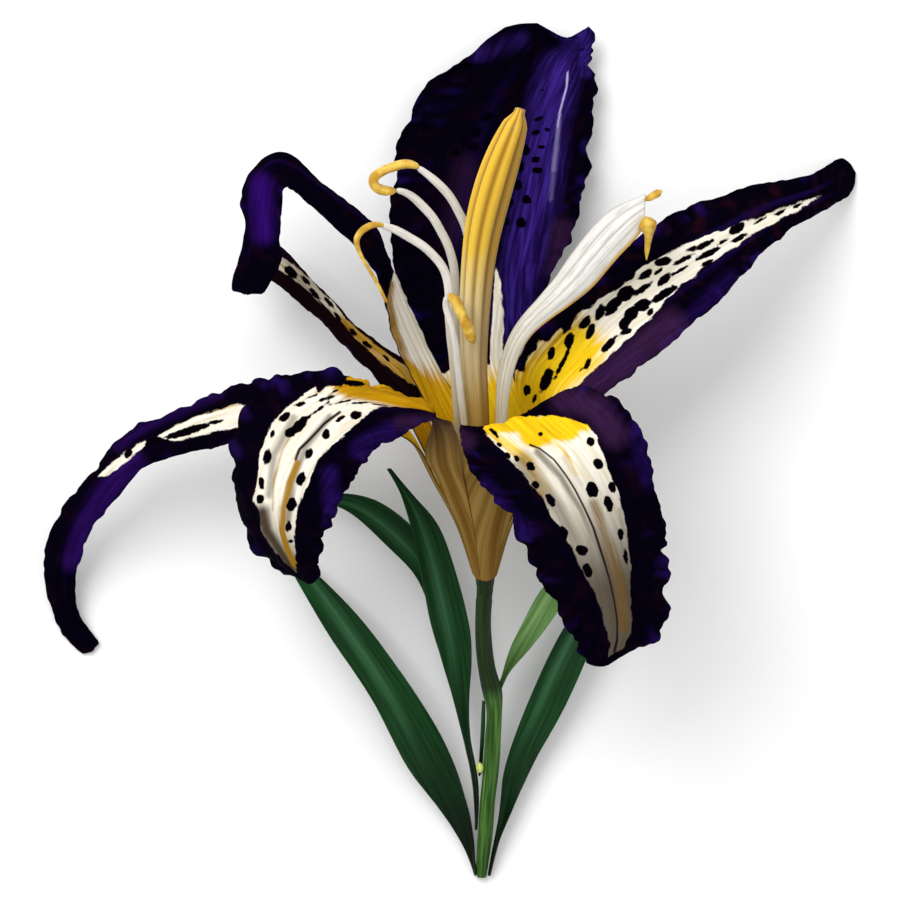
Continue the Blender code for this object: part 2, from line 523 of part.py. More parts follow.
for name, ribs in BLADE_RIBS.items():
    claw = [clawRib(name, height) for height in CLAW_HEIGHTS]
    sheet(name, claw + [list(rib) for rib in ribs], TEPAL_THICKNESS, *TEPAL_STEPS)
for name, ribs in LEAF_RIBS.items():
    thickness = SLIVER_THICKNESS if name == "leaf_sliver" else LEAF_THICKNESS
    sheet(name, ribs, thickness, *(NARROW_SHEET_STEPS if name in NARROW_SHEETS else LEAF_STEPS))
for name, stations in TUBES.items():
    if name == "pistil":
        tube(name, stations, *PISTIL_STEPS, flutes=PISTIL_FLUTES, fluteDepth=FLUTE_DEPTH)
    elif name == "receptacle":
        tube(name, stations, len(stations) - 1, RECEPTACLE_SIDES, straight=True)
    elif name == "stem":
        tube(name, stations, *STEM_STEPS)
    elif name.startswith("filament"):
        tube(name, stations, *FILAMENT_STEPS)
    else:
        tube(name, stations, *SHORT_TUBE_STEPS)
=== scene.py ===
import math

import bpy
import numpy as np
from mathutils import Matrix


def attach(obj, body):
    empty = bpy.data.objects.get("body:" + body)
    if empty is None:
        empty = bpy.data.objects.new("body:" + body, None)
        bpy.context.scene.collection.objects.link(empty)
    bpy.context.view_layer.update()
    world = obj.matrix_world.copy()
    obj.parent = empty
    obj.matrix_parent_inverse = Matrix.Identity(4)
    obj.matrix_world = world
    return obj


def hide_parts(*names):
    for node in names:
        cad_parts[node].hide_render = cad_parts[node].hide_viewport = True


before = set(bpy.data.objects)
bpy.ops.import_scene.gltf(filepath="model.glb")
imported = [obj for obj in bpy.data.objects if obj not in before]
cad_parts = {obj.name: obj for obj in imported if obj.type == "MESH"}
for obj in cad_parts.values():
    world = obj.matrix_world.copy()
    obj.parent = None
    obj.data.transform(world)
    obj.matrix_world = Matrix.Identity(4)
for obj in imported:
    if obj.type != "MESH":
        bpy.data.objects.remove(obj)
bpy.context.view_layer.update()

# Positions below are millimetres (x, y, z) as seen from the camera over the flower, true at sightLevel.
eye = {"height": 1030.0, "sightLevel": 30.0, "centreX": 0.2, "centreY": -0.4}

# The narrow tepal bases stand side by side on a cone round the flower's axis.
funnel = {
    "at": (7.0, -25.0, 24.0),
    "axis": (-0.012, 0.935, 0.354),
    "heights": (0.0, 5.0, 10.7, 18.0, 23.5, 30.0, 34.0),
    "radii": (2.05, 3.5, 5.2, 8.6, 11.2, 14.2, 16.0),
    "ribHeights": (0.9, 6.0, 12.0, 18.0, 24.0, 29.0),
    "rim": 29.0,
    "seam": 0.06,
}
funnelWay = np.array(funnel["axis"]) / np.linalg.norm(funnel["axis"])

tiny = 1e-9  # keeps divisions from meeting zero
outside = 9.0  # mm, further than the edge of any mark reaches
fullTurn = 2 * math.pi


def trueSize(points):
    # real metres: x and y spread by (eye height - z) / (eye height - sight level), then centred
    points = np.asarray(points, float)
    spread = (eye["height"] - points[..., 2:3]) / (eye["height"] - eye["sightLevel"])
    real = np.concatenate([points[..., :2] * spread, points[..., 2:3]], -1)
    return (real - np.array([eye["centreX"], eye["centreY"], 0.0])) / 1000


def smooth(knots, values, at):
    # natural cubic spline: the second derivatives solve one linear system, then each span is a cubic
    count = len(knots)
    flat = np.asarray(values, float).reshape(count, -1)
    step = np.diff(knots)
    rise = np.diff(flat, axis=0) / step[:, None]
    system = np.eye(count)
    wanted = np.zeros_like(flat)
    for i in range(1, count - 1):
        system[i, i - 1:i + 2] = (step[i - 1], 2 * (step[i - 1] + step[i]), step[i])
        wanted[i] = 6 * (rise[i] - rise[i - 1])
    bend = np.linalg.solve(system, wanted)
    k = np.clip(np.searchsorted(knots, at) - 1, 0, count - 2)
    low, high, h = at - knots[k], knots[k + 1] - at, step[k]
    part = (bend[k] * (high**3)[:, None] + bend[k + 1] * (low**3)[:, None]) / (6 * h)[:, None]
    part += (flat[k] / h[:, None] - bend[k] * h[:, None] / 6) * high[:, None]
    part += (flat[k + 1] / h[:, None] - bend[k + 1] * h[:, None] / 6) * low[:, None]
    return part.reshape((len(at),) + np.shape(values)[1:])


def ease(low, high, x):
    # 0 below low, 1 above high, 3u^2 - 2u^3 between
    u = np.clip((x - low) / (high - low), 0, 1)
    return u * u * (3 - 2 * u)


def roughField(x, y, seed):
    # value noise from -1 to 1: random heights on whole-number corners, eased between them
    size = 128
    table = np.random.default_rng(seed).uniform(-1, 1, (size, size))
    i, j = np.floor(x).astype(int), np.floor(y).astype(int)
    fx, fy = ease(0, 1, x - i), ease(0, 1, y - j)
    a, b = table[i % size, j % size], table[(i + 1) % size, j % size]
    c, d = table[i % size, (j + 1) % size], table[(i + 1) % size, (j + 1) % size]
    return (a * (1 - fx) + b * fx) * (1 - fy) + (c * (1 - fx) + d * fx) * fy


def nearPath(x, y, path):
    # least distance to the straight parts of an open path of points
    best = np.full(x.shape, np.inf)
    for (ax, ay), (bx, by) in zip(path[:-1], path[1:]):
        dx, dy = bx - ax, by - ay
        u = np.clip(((x - ax) * dx + (y - ay) * dy) / (dx * dx + dy * dy + tiny), 0, 1)
        best = np.minimum(best, np.hypot(x - ax - u * dx, y - ay - u * dy))
    return best


def insideBy(x, y, outline):
    # distance to a closed outline, positive where a line to the right crosses it an odd number of times
    path = list(outline) + [outline[0]]
    odd = np.zeros(x.shape, bool)
    for (ax, ay), (bx, by) in zip(path[:-1], path[1:]):
        dy = by - ay
        crosses = (ay > y) != (by > y)
        odd ^= crosses & (x < ax + (y - ay) * (bx - ax) / (dy if abs(dy) > tiny else tiny))
    gap = nearPath(x, y, path)
    return np.where(odd, gap, -gap)


def inSpots(x, y, spots):
    # about the distance inside the nearest of several turned ellipses (x, y, length, width, degrees)
    best = np.full(x.shape, -outside)
    for px, py, length, width, degrees in spots:
        c, s = math.cos(math.radians(degrees)), math.sin(math.radians(degrees))
        u = ((x - px) * c + (y - py) * s) / (length / 2)
        v = (-(x - px) * s + (y - py) * c) / (width / 2)
        best = np.maximum(best, (1 - np.hypot(u, v)) * min(length, width) / 2)
    return best


def stained(x, y, stains):
    # strongest of several soft-edged strokes (path, reach, strength), full over the first tenth of the reach
    best = np.zeros(x.shape)
    for path, reach, strength in stains:
        best = np.maximum(best, strength * (1 - ease(0.1 * reach, reach, nearPath(x, y, path))))
    return best


def clawRib(spec, height):
    # three points round the flower's axis, on the cone's radius at this height
    right = np.array([1.0, 0.0, 0.0]) - funnelWay * funnelWay[0]
    right /= np.linalg.norm(right)
    up = np.cross(right, funnelWay)
    radius = np.interp(height, funnel["heights"], funnel["radii"])
    share = height / funnel["rim"]
    base, rim = np.radians(spec["clawAtBase"]), np.radians(spec["clawAtRim"])
    ends = base * (1 - share) + rim * share
    inset = math.copysign(0.5 * funnel["seam"] / radius, ends[1] - ends[0])
    angles = (ends[0] + inset, ends.mean(), ends[1] - inset)
    lifts = np.array(spec["lifts"]) * share**2
    radii = (radius + lifts[0], radius + lifts.mean() / 2, radius + lifts[1])
    centre = np.array(funnel["at"]) + funnelWay * height
    return [centre + r * (math.sin(a) * right + math.cos(a) * up) for a, r in zip(angles, radii)]


def gridFaces(rows, cols, start=0, closed=False):
    # quads of a rows x cols grid of vertices, joined round in the second direction if closed
    number = start + np.arange(rows * cols).reshape(rows, cols)
    if closed:
        number = np.concatenate([number, number[:, :1]], 1)
    return np.stack([number[:-1, :-1], number[:-1, 1:], number[1:, 1:], number[1:, :-1]], -1).reshape(-1, 4)


def addField(mesh, name, values):
    # one number for each vertex, which the materials read by its name
    values = np.asarray(values, np.float32).ravel()
    mesh.attributes.new(name, "FLOAT", "POINT").data.foreach_set("value", values)


def makeMesh(name, verts, quads, uv, fields, ends=()):
    # verts in metres; quads and end polygons become faces; uv and fields are one value a vertex
    mesh = bpy.data.meshes.new(name)
    sizes = np.concatenate([np.full(len(quads), 4), [len(end) for end in ends]]).astype(np.int32)
    corners = np.concatenate([np.ravel(quads)] + [np.asarray(end) for end in ends]).astype(np.int32)
    mesh.vertices.add(len(verts))
    mesh.vertices.foreach_set("co", np.asarray(verts, np.float32).ravel())
    mesh.loops.add(len(corners))
    mesh.loops.foreach_set("vertex_index", corners)
    mesh.polygons.add(len(sizes))
    starts = np.concatenate([[0], np.cumsum(sizes)[:-1]]).astype(np.int32)
    mesh.polygons.foreach_set("loop_start", starts)
    mesh.polygons.foreach_set("use_smooth", np.ones(len(sizes), bool))
    layer = mesh.uv_layers.new(name="skin")
    layer.data.foreach_set("uv", np.asarray(uv, np.float32)[corners].ravel())
    for field, values in fields.items():
        addField(mesh, field, values)
    mesh.update(calc_edges=True)
    mesh.validate()
    piece = bpy.data.objects.new(name, mesh)
    bpy.context.scene.collection.objects.link(piece)
    return piece


def facesOut(verts, quads):
    # the sign of the shell's volume, summed over tetrahedra to the origin, tells whether faces look outwards
    a, b, c, d = (verts[quads[:, i]] for i in range(4))
    volume = np.einsum("ij,ij->i", a, np.cross(b, c)).sum() + np.einsum("ij,ij->i", a, np.cross(c, d)).sum()
    return quads if volume > 0 else quads[:, ::-1]


def normalsOf(surface):
    # cross product of the differences along and across, at length 1
    normal = np.cross(np.gradient(surface, axis=0), np.gradient(surface, axis=1))
    return normal / np.maximum(np.linalg.norm(normal, axis=2, keepdims=True), tiny)


def bladeSurface(ribs, along, across, turned, tip=0.0):
    # S(s, t) = M + t (B - A) / 2 + t^2 ((A + B) / 2 - M), with A, M and B smooth rails through the ribs, s in
    # mm along M and t from -1 to 1 across, its steps closer at the edges. Over the last tip millimetres t is
    # scaled by the root of 1 - u^2, which rounds the end. The normal looks the way the face does.
    ribs = np.asarray(ribs, float)
    knots = np.concatenate([[0.0], np.cumsum(np.linalg.norm(np.diff(ribs[:, 1], axis=0), axis=1))])
    s = np.linspace(0, knots[-1], along + 1)
    t = np.linspace(-1, 1, across + 1)
    t = np.sign(t) * (1 - (1 - np.abs(t))**1.12)
    a, m, b = (smooth(knots, ribs, s)[:, None, i] for i in range(3))
    u = np.clip((s - knots[-1] + tip) / max(tip, 0.01), 0, 1) * (tip > 0)
    tt = t[None, :, None] * np.sqrt(np.clip(1 - u * u, 0.012, 1))[:, None, None]
    surface = m + tt * (b - a) / 2 + tt * tt * ((a + b) / 2 - m)
    s, t = np.meshgrid(s, t, indexing="ij")
    halfWidth = np.linalg.norm(surface[:, -1] - surface[:, 0], axis=1)[:, None] / 2
    return surface, s, t, halfWidth, normalsOf(surface) * (-1 if turned else 1), knots


def closedSheet(name, surface, s, t, halfWidth, thickness, fields, turned):
    # two skins half the thickness either side of the surface, joined by a rim strip. The thickness goes from
    # its first value at the middle to its second at the rim with t^3; fields come as (face, back).
    rows, cols = surface.shape[:2]
    normal = normalsOf(surface) * (-1 if turned else 1)
    half = (thickness[0] + (thickness[1] - thickness[0]) * np.abs(t)**3)[..., None] / 2
    skins = [surface + normal * half, surface - normal * half]
    verts = trueSize(np.concatenate([skin.reshape(-1, 3) for skin in skins]))
    face = gridFaces(rows, cols)
    back = gridFaces(rows, cols, rows * cols)[:, ::-1]
    number = np.arange(rows * cols).reshape(rows, cols)
    loop = np.concatenate([number[0, :-1], number[:-1, -1], number[-1, :0:-1], number[:0:-1, 0]])
    after = np.roll(loop, -1)
    rim = np.stack([after, loop, loop + rows * cols, after + rows * cols], 1)
    quads = facesOut(verts, np.concatenate([face, back, rim]))
    pairs = {key: np.concatenate([np.ravel(one), np.ravel(two)]) for key, (one, two) in fields.items()}
    uv = np.stack([t * halfWidth, s], -1).reshape(-1, 2)
    return makeMesh(name, verts, quads, np.concatenate([uv, uv]), pairs)


def finishPiece(piece, node, material):
    # its material, the body it rides on and the CAD node it stands for
    piece.data.materials.append(material)
    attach(piece, "root")
    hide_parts(node)


def hexColour(code):
    # sRGB hex to linear red, green, blue, alpha
    parts = [int(code[i:i + 2], 16) / 255 for i in (1, 3, 5)]
    return [p / 12.92 if p <= 0.04045 else ((p + 0.055) / 1.055)**2.4 for p in parts] + [1.0]


rgba = {"data_type": "RGBA", "out": 2}  # a Mix of colours and its colour output
soft = {"interpolation_type": "SMOOTHSTEP"}


def addNode(tree, kind, inputs=(), out=0, **settings):
    # one node with its settings; inputs are (socket, number, hex colour or the output it is fed from)
    node = tree.nodes.new("ShaderNode" + kind)
    for key, value in settings.items():
        setattr(node, key, value)
    for key, value in inputs:
        if isinstance(value, bpy.types.NodeSocket):
            tree.links.new(value, node.inputs[key])
        else:
            node.inputs[key].default_value = hexColour(value) if isinstance(value, str) else value
    return node.outputs[out]


def newSkin(name, roughness, ior=1.42, sheen=0.0, subsurface=0.0):
    # a material, its node tree and its shader with even settings
    material = bpy.data.materials.new(name)
    material.use_nodes = True
    tree = material.node_tree
    shader = tree.nodes["Principled BSDF"]
    for key, value in (
        ("Roughness", roughness), ("IOR", ior), ("Sheen Weight", sheen), ("Sheen Roughness", 0.4),
        ("Subsurface Weight", subsurface), ("Subsurface Radius", (0.0012, 0.0008, 0.0005)),
    ):
        shader.inputs[key].default_value = value
    return material, tree, shader


def grainOf(tree, stretch, perMm, detail, roughness=0.5):
    # noise with perMm features a mm across the veins, 1 / stretch times as long as wide
    place = addNode(tree, "Mapping", [(0, addNode(tree, "UVMap", uv_map="skin")), (3, (1, stretch, 1))])
    settings = [("Vector", place), ("Scale", perMm), ("Detail", detail), ("Roughness", roughness)]
    return addNode(tree, "TexNoise", settings)


def coverSkin(tree, shader, colour, relief, strength, depth):
    # colour and relief reach the shader; depth is the relief's height in metres
    bump = addNode(tree, "Bump", [("Strength", strength), ("Distance", depth), ("Height", relief)])
    tree.links.new(colour, shader.inputs["Base Color"])
    tree.links.new(bump, shader.inputs["Normal"])


# Lily tepal: a thin velvety skin over long veins. It scatters light and has next to no gloss, so the black
# purple stays dark at every angle. Its raised folds and lumps carry a painted violet highlight. A grain
# has its stretch along the veins, features a mm across them, detail and, for the jagged edge, roughness.
def petalSkin(spec, look):
    material, tree, shader = newSkin("petal " + spec["node"], 0.5, ior=1.02)
    shader.inputs["Specular Tint"].default_value = hexColour("#b9a4ff")
    field = {}
    for key in (
        "panel", "spot", "line", "yellow", "brown", "painted_shade",
        "violet", "plum", "gleam", "raised", "claw", "inner",
    ):
        field[key] = addNode(tree, "Attribute", attribute_name=key, out="Fac")
    grain = {}
    for key, *settings in (
        ("streaks", 0.07, 1.3, 3), ("fine", 0.07, 5.5, 2), ("jags", 0.32, 0.9, 4, 0.65),
        ("bands", 0.02, 0.55, 2), ("blotches", 1, 0.22, 3), ("crumbs", 1, 1, 1.5),
    ):
        grain[key] = grainOf(tree, *settings)
    tone = addNode(tree, "MapRange", [(0, grain["streaks"]), (1, 0.3), (2, 0.8), (4, 0.8)], **soft)

    mask = {}
    for key, rough, amount, low, high in (  # each mark's edge is broken up by a grain
        ("panel", grain["jags"], look["jag"], 0.5 * look["jag"] - 0.12, 0.5 * look["jag"] + 0.14),
        ("spot", grain["crumbs"], 0.6, 0.2, 0.4), ("line", grain["crumbs"], 0, 0.46, 0.1),
        ("yellow", tone, 0.7, 0.4, 1.35), ("brown", tone, 0.5, 0.35, 1.45),
    ):
        edge = addNode(tree, "Math", [(0, rough), (1, amount), (2, field[key])], operation="MULTIPLY_ADD")
        mask[key] = addNode(tree, "MapRange", [(0, edge), (1, low), (2, high)], **soft)
    # the mask on raised lumps is a painted violet highlight
    for key, source, low, high, most in (
        ("maroon", grain["blotches"], 0.52, 0.7, look["maroonShare"]),
        ("crest_highlight", field["raised"], 0.55, 1.3, look["crest_highlight"]),
        ("stripes", grain["bands"], 0.34, 0.66, 1),
    ):
        mask[key] = addNode(tree, "MapRange", [(0, source), (1, low), (2, high), (4, most)], **soft)

    tones = {}
    for key, share, low, high in (
        ("pale", tone, look["pale"], look["paleShade"]),
        ("yellow", tone, look["yellow"], look["yellowShade"]),
        ("dark", grain["streaks"], look["dark"], look["darkLight"]),
        ("violet", tone, look["violet"], look["violetLight"]),
        ("plum", grain["streaks"], "#1c0c24", "#42234c"),
        ("outer", grain["fine"], look["outer"], look["outerLight"]),
        ("claw", mask["stripes"], look["clawDark"], look["claw"]),
    ):
        tones[key] = addNode(tree, "Mix", [(0, share), (6, low), (7, high)], **rgba)
    # painted one over the other: the panel's tones with painted shade, the dark rim with painted violet
    # highlights and a painted pale gleam, panel and marks on it, then face on back
    for under, share, over in (
        ("pale", mask["yellow"], "yellow"), ("pale", field["painted_shade"], "#443a2c"),
        ("pale", mask["brown"], look["brown"]), ("dark", mask["maroon"], look["maroon"]),
        ("dark", mask["crest_highlight"], look["violet"]), ("dark", field["violet"], "violet"),
        ("dark", field["plum"], "plum"), ("dark", field["gleam"], "#b9aee0"), ("dark", mask["panel"], "pale"),
        ("dark", mask["spot"], look["spot"]), ("dark", mask["line"], look["line"]),
        ("outer", field["claw"], "claw"), ("outer", field["inner"], "dark"),
    ):
        cover = tones.get(over, over)  # a tone by its name, or a hex colour
        tones[under] = addNode(tree, "Mix", [(0, share), (6, tones[under]), (7, cover)], **rgba)

    gloss = addNode(tree, "MapRange", [(0, grain["streaks"]), (3, look["gloss"]), (4, look["gloss"] + 0.22)])
    tree.links.new(gloss, shader.inputs["Roughness"])
    grooves = [(0, grain["fine"]), (1, 0.6), (2, grain["crumbs"])]
    relief = addNode(tree, "Math", grooves, operation="MULTIPLY_ADD")
    coverSkin(tree, shader, tones["outer"], relief, 0.2, 0.00028)
    return material


baseLook = {
    "jag": 1.6, "pale": "#ebe6da", "paleShade": "#cdc1a2", "yellow": "#efc61a", "yellowShade": "#c8920f",
    "brown": "#86662a", "dark": "#020106", "darkLight": "#070312", "maroon": "#12040c", "maroonShare": 0.6,
    "violet": "#1e0d4a", "violetLight": "#35197c", "crest_highlight": 0.8, "spot": "#040206", "line": "#1a1218",
    "outer": "#07030f", "outerLight": "#170a30", "claw": "#94783f", "clawDark": "#6d4c1c", "gloss": 0.42,
}

# Each tepal: its claw's angles round the funnel in degrees, its blade's ribs from the tube to the tip (edge,
# middle, edge), folds (place across, width, height) and marks: closed panels, thin lines, spots (x, y,
# length, width, degrees) and strokes of colour (path, reach, strength). The shades strokes and the span
# given as shares of the length, over which the pale face greys towards the tip, are painted shade; the gleam
# strokes are a painted highlight.
tepals = [
    {
        "node": "tepal_lower_left", "clawAtBase": (295, 338), "clawAtRim": (300, 342), "lifts": (-0.4, 0.4),
        "turned": False, "across": 100,
        "ribs": (
            ((-3.5, 9.2, 41), (-3.5, 6.5, 47.5), (-0.6, 6.2, 50.5)),
            ((-12, 12.2, 43), (-9.5, 8.6, 50), (-6.6, 4.4, 54)),
            ((-21, 15.2, 46.5), (-17.5, 9.2, 54), (-12.8, 1.4, 57)),
            ((-31.5, 15.2, 50), (-25, 5.6, 58), (-16.6, -2.2, 59.5)),
            ((-39.5, 11.2, 51.5), (-30, -0.2, 60.5), (-19.6, -6.2, 60)),
            ((-43.2, 3.2, 51), (-33.2, -6.5, 61), (-21.8, -10.6, 59.5)),
            ((-44, -4.8, 49.5), (-34.4, -12.6, 60), (-23.8, -14.8, 58.5)),
            ((-42.2, -13.4, 47.5), (-33.6, -18.2, 57.5), (-25.6, -19, 56.5)),
            ((-37.6, -21.4, 47), (-31.4, -22.8, 54.5), (-26.4, -23.4, 54)),
            ((-30, -25.8, 49), (-28.2, -26.6, 50.5), (-26.6, -26.8, 51)),
        ),
        "ruffle": 1, "folds": ((-0.12, 0.1, -0.7), (-0.32, 0.08, 0.5), (0.22, 0.12, 0.4)),
        "panels": ((
            (-30, 10.6), (-31.4, 9.2), (-33.6, 7.6), (-35.4, 5.4), (-36.6, 3), (-37.8, -0.6), (-38.2, -4.6),
            (-38.6, -8), (-39.2, -10), (-38.2, -11.6), (-37.6, -14), (-37.6, -16), (-36.4, -18), (-35, -20),
            (-33, -22.4), (-30.6, -24.2), (-30.8, -22), (-31.2, -18), (-31, -14), (-30.4, -11),
            (-28.8, -7.6), (-27.4, -4.4), (-26.6, -2), (-24.8, -0.2), (-22.4, 1.6), (-21, 3.2),
            (-19.6, 4.6), (-17.4, 6.4), (-16, 7.6), (-13.6, 8.4), (-8, 8.2), (-4, 7.6), (0, 6.9),
            (-1.5, 9.4), (-6, 11.4), (-9, 11.8), (-9.8, 13.4), (-12.6, 13.6), (-13.4, 14.4), (-16, 14.2),
            (-17.4, 14.8), (-20.4, 14.6), (-21.8, 12.6), (-24.4, 12.6), (-26.4, 11.4), (-27, 12.4),
        ),),
        "spots": (
            (-30, 9, 2.2, 0.9, 12), (-33, 6.5, 2.5, 1.6, 35), (-30.2, 4.8, 4.6, 2, 48),
            (-32, 3.4, 2.2, 1.8, 20), (-35.4, 3.1, 1.6, 0.9, 80), (-36.4, -1.4, 3.3, 1.6, 80),
            (-37.6, -6.6, 2.6, 1.1, 90), (-37.8, -9.8, 1.9, 1.3, 90), (-18.9, 6.8, 2.4, 1.6, 20),
            (-21.9, 6.1, 1.9, 0.9, 35), (-24.8, 3, 2.1, 1.5, 65), (-28.2, -0.8, 2.4, 1.4, 66),
            (-29.8, -5.8, 2.8, 1.7, 70), (-31.6, -10.9, 2.8, 1.8, 75), (-32.2, -15.2, 2.2, 1.2, 85),
            (-31.8, -18, 1, 0.8, 0), (-19.5, 13.2, 4.6, 1.3, -6), (-26.2, 8.2, 5, 0.6, 38),
            (-24.6, 10.2, 4.4, 0.6, 20), (-21.6, 9.6, 4.6, 0.5, 12), (-18.2, 9.2, 4.2, 0.5, 4),
            (-27.6, 10.6, 2.4, 0.5, 20), (-14, 8.8, 3, 0.4, -4), (-23, 11.6, 2, 0.5, 25),
            (-28.4, 6.4, 3.2, 0.5, 45),
        ),
        "lines": (((-22, 7.4), (-25, 5.2), (-28, 2), (-30, 0), (-30.8, -2)),),
        "yellow": ((((-21, 13.6), (-12, 11.6), (0, 8.5)), 5, 1.7), (((-26, 11.4), (-20, 10.8)), 1.6, 0.6)),
        "brown": (
            (
                ((-30.4, -2.6), (-32, -6.6), (-33.2, -11.6), (-33.4, -16), (-32.4, -19.6), (-31, -22.6)),
                1.25, 1.3,
            ),
            (((-30.6, 5.4), (-33.6, 0), (-35.2, -6), (-35.4, -12)), 0.6, 0.8),
            (((-33.2, -15), (-32, -20)), 1.4, 0.7), (((-22, 13.2), (-12, 11.2), (-2, 8.4)), 2.6, 0.5),
        ),
        "violet": ((((-24, -5), (-23.5, -12)), 3, 0.45), (((-12, 3.6), (-18, 0)), 3.4, 0.4)),
        "plum": ((((-4, 5.6), (-10, 5.4)), 2.5, 0.5),), "painted_shade": (0.8, 0.97),
        "shades": (
            (((-37.4, -12.4), (-36.6, -16), (-34, -20), (-31.6, -23.4)), 2.6, 1),
            (((-31.2, 6.4), (-35.2, -1), (-36.2, -9)), 1.2, 0.6),
            (((-24, 6.4), (-28.6, 0.8), (-31.4, -6), (-32.4, -14)), 1.2, 0.7),
            (((-30.4, -16), (-30.4, -20)), 1.2, 0.8),
        ),
        "look": {"yellow": "#c0900e", "yellowShade": "#8a5e08", "brown": "#936c1c"},
    },
    {
        "node": "tepal_lower_right", "clawAtBase": (-22, 42), "clawAtRim": (-18, 72), "lifts": (-0.4, -0.4),
        "turned": False, "across": 110,
        "ribs": (
            ((2, 5, 49.5), (10.5, 5.2, 49.5), (21.5, 10.8, 44)),
            ((2.6, 0.5, 54.5), (15.5, 1.6, 56), (29, 11.8, 50.5)),
            ((5.2, -5.4, 58), (20.8, -2.4, 60.5), (35.5, 7.2, 55.5)),
            ((9.4, -10.2, 59.5), (25, -8.5, 62.5), (39.8, -0.4, 57.5)),
            ((13.6, -16.6, 59.5), (28.6, -15.6, 63), (42.2, -10.5, 57)),
            ((16.6, -23.8, 58), (31, -23, 61.5), (42.6, -20.5, 54.5)),
            ((20.6, -31.2, 56), (32.6, -30, 59), (43.4, -28.8, 51.5)),
            ((25.2, -37.8, 54), (33.2, -36, 56.5), (42.4, -36.2, 50.5)),
            ((28, -43.8, 52), (31.2, -43, 52.8), (35.5, -40.5, 51.5)),
        ),
        "ruffle": 1.15, "folds": ((0.02, 0.06, -0.6), (0.2, 0.09, 0.4), (-0.22, 0.1, 0.35)),
        "panels": ((
            (6.6, 4), (9.4, 0.8), (11, -0.6), (12.4, -2.6), (14, -4), (16.2, -6.8), (18.8, -9.8),
            (20.4, -13.4), (22, -15.2), (23.6, -18), (25, -20.6), (27.4, -26), (29.2, -28.6), (30, -31.2),
            (30.8, -34), (31.6, -36.6), (32, -39), (31.6, -41.2), (34.8, -39.2), (36, -36.4), (36.2, -34),
            (35.8, -28), (36, -23), (35.6, -20), (35.2, -15), (34.4, -12), (33.8, -8.8), (33, -7),
            (31.8, -4.4), (31, -2.4), (30, 0.6), (29.4, 2.8), (27.6, 4.8), (25, 5.8), (20.4, 6.8),
            (17.4, 6.4), (12, 6.6), (8, 6),
        ),),
        "spots": (
            (9, 3.2, 2.6, 0.8, -40), (10, 0.8, 1.3, 0.9, -40), (11.6, -1.2, 1.5, 1, -40),
            (13.4, -1.8, 1.4, 1, -45), (16.2, -3.4, 2.1, 1.6, -50), (17.2, -7, 1.7, 1.4, -50),
            (20.2, -10, 2.9, 1.7, -60), (22.8, -16.4, 2.7, 1.6, -65), (26.4, -20, 2.6, 2, -30),
            (27.6, -24, 3.1, 1.7, -70), (18.2, 3, 0.9, 0.8, 0), (28.2, 1.6, 1.9, 1.6, -50),
            (29.6, -2.8, 2.3, 1.9, -60), (28.4, -8, 3.3, 2.3, -70), (32.4, -7.4, 2.5, 1.5, -70),
            (31.6, -10.8, 3.4, 1.7, -75), (34, -16.8, 2.3, 1.3, -80), (35, -21.2, 3, 1, -85),
        ),
        "lines": ((
            (16, 0.8), (18, 0.2), (20.8, -2), (23.2, -5.2), (25, -8), (27, -12), (28.6, -15.6), (30, -20),
            (31, -23), (32, -26.4), (32.8, -30), (33.4, -34), (33.4, -38), (32.8, -40.2),
        ),),
        "yellow": (
            (((8, 3.4), (12, 1), (15.6, -2.4)), 2.4, 0.9), (((16.6, 3), (19.8, 4.4), (23.4, 4.4)), 4.4, 2),
            (((7.6, 5.2), (12, 5.4), (16, 5.4)), 3.4, 1.9), (((22, 5), (28, 5.4)), 3, 1.4),
            (((13, 0), (16, -3.4), (19, -8)), 2.6, 0.8), (((19.6, 3), (22.6, 0), (25.6, -5)), 0.7, 0.9),
        ),
        "brown": (
            (((28.8, -11), (31.6, -19), (33.8, -28), (34.6, -35)), 3, 0.85),
            (((18, 5), (22.6, 0.6), (26.6, -7)), 0.6, 0.6),
        ),
        "violet": ((((37.5, 4), (40, -6)), 3.4, 0.3), (((7, -6.5), (15, -16)), 2.4, 0.3)),
        "plum": ((((23, 10), (29, 8.5), (33, 3)), 4.5, 0.8), (((0.5, 3.5), (3.5, 1.5)), 3, 0.6)),
        "painted_shade": (0.52, 0.84),
        "shades": (
            (((14.6, -2.6), (21.8, -12), (26.4, -20.4), (29.8, -29), (32, -39)), 3.6, 0.72),
            (((17.4, -0.6), (22, -5.4), (26, -12), (29.4, -20), (31.6, -28)), 1.2, 0.75),
            (((34, -12), (35.4, -20), (35.6, -32)), 1.6, 0.7),
            (((23, -1.6), (27, -8), (30, -14)), 1.2, 0.3),
        ),
        "look": {"brown": "#64491a"},
    },
    {
        "node": "tepal_right", "clawAtBase": (100, 42), "clawAtRim": (138, 72), "lifts": (-0.6, 0.5),
        "turned": True, "across": 96,
        "ribs": (
            ((12.8, 14.5, 24), (20, 11.5, 32), (24.5, 5.5, 39.5)),
            ((16.5, 23.5, 25.5), (25.5, 18.5, 33.5), (31.5, 11.8, 40)),
            ((23.5, 30.4, 27.5), (32, 25.5, 34), (39.5, 17.6, 39)),
            ((32, 37.8, 28.5), (40, 31.4, 33), (47.2, 24, 36.5)),
            ((41.5, 45.2, 27), (48.6, 37.2, 30.5), (54.4, 30.2, 33)),
            ((51.6, 50, 23), (57, 42.6, 26), (61.4, 38, 27.5)),
            ((62.4, 53.4, 17.5), (65, 47.4, 20), (67.6, 43.8, 21)),
            ((71, 54.6, 11.5), (72, 50.2, 13), (73.4, 47.2, 13.5)),
            ((76.4, 57.6, 5), (77.2, 53, 5.6), (78.2, 49.8, 6)),
            ((79.2, 59.4, 0.8), (80.9, 55.4, 0.5), (81, 51.6, 1)),
        ),
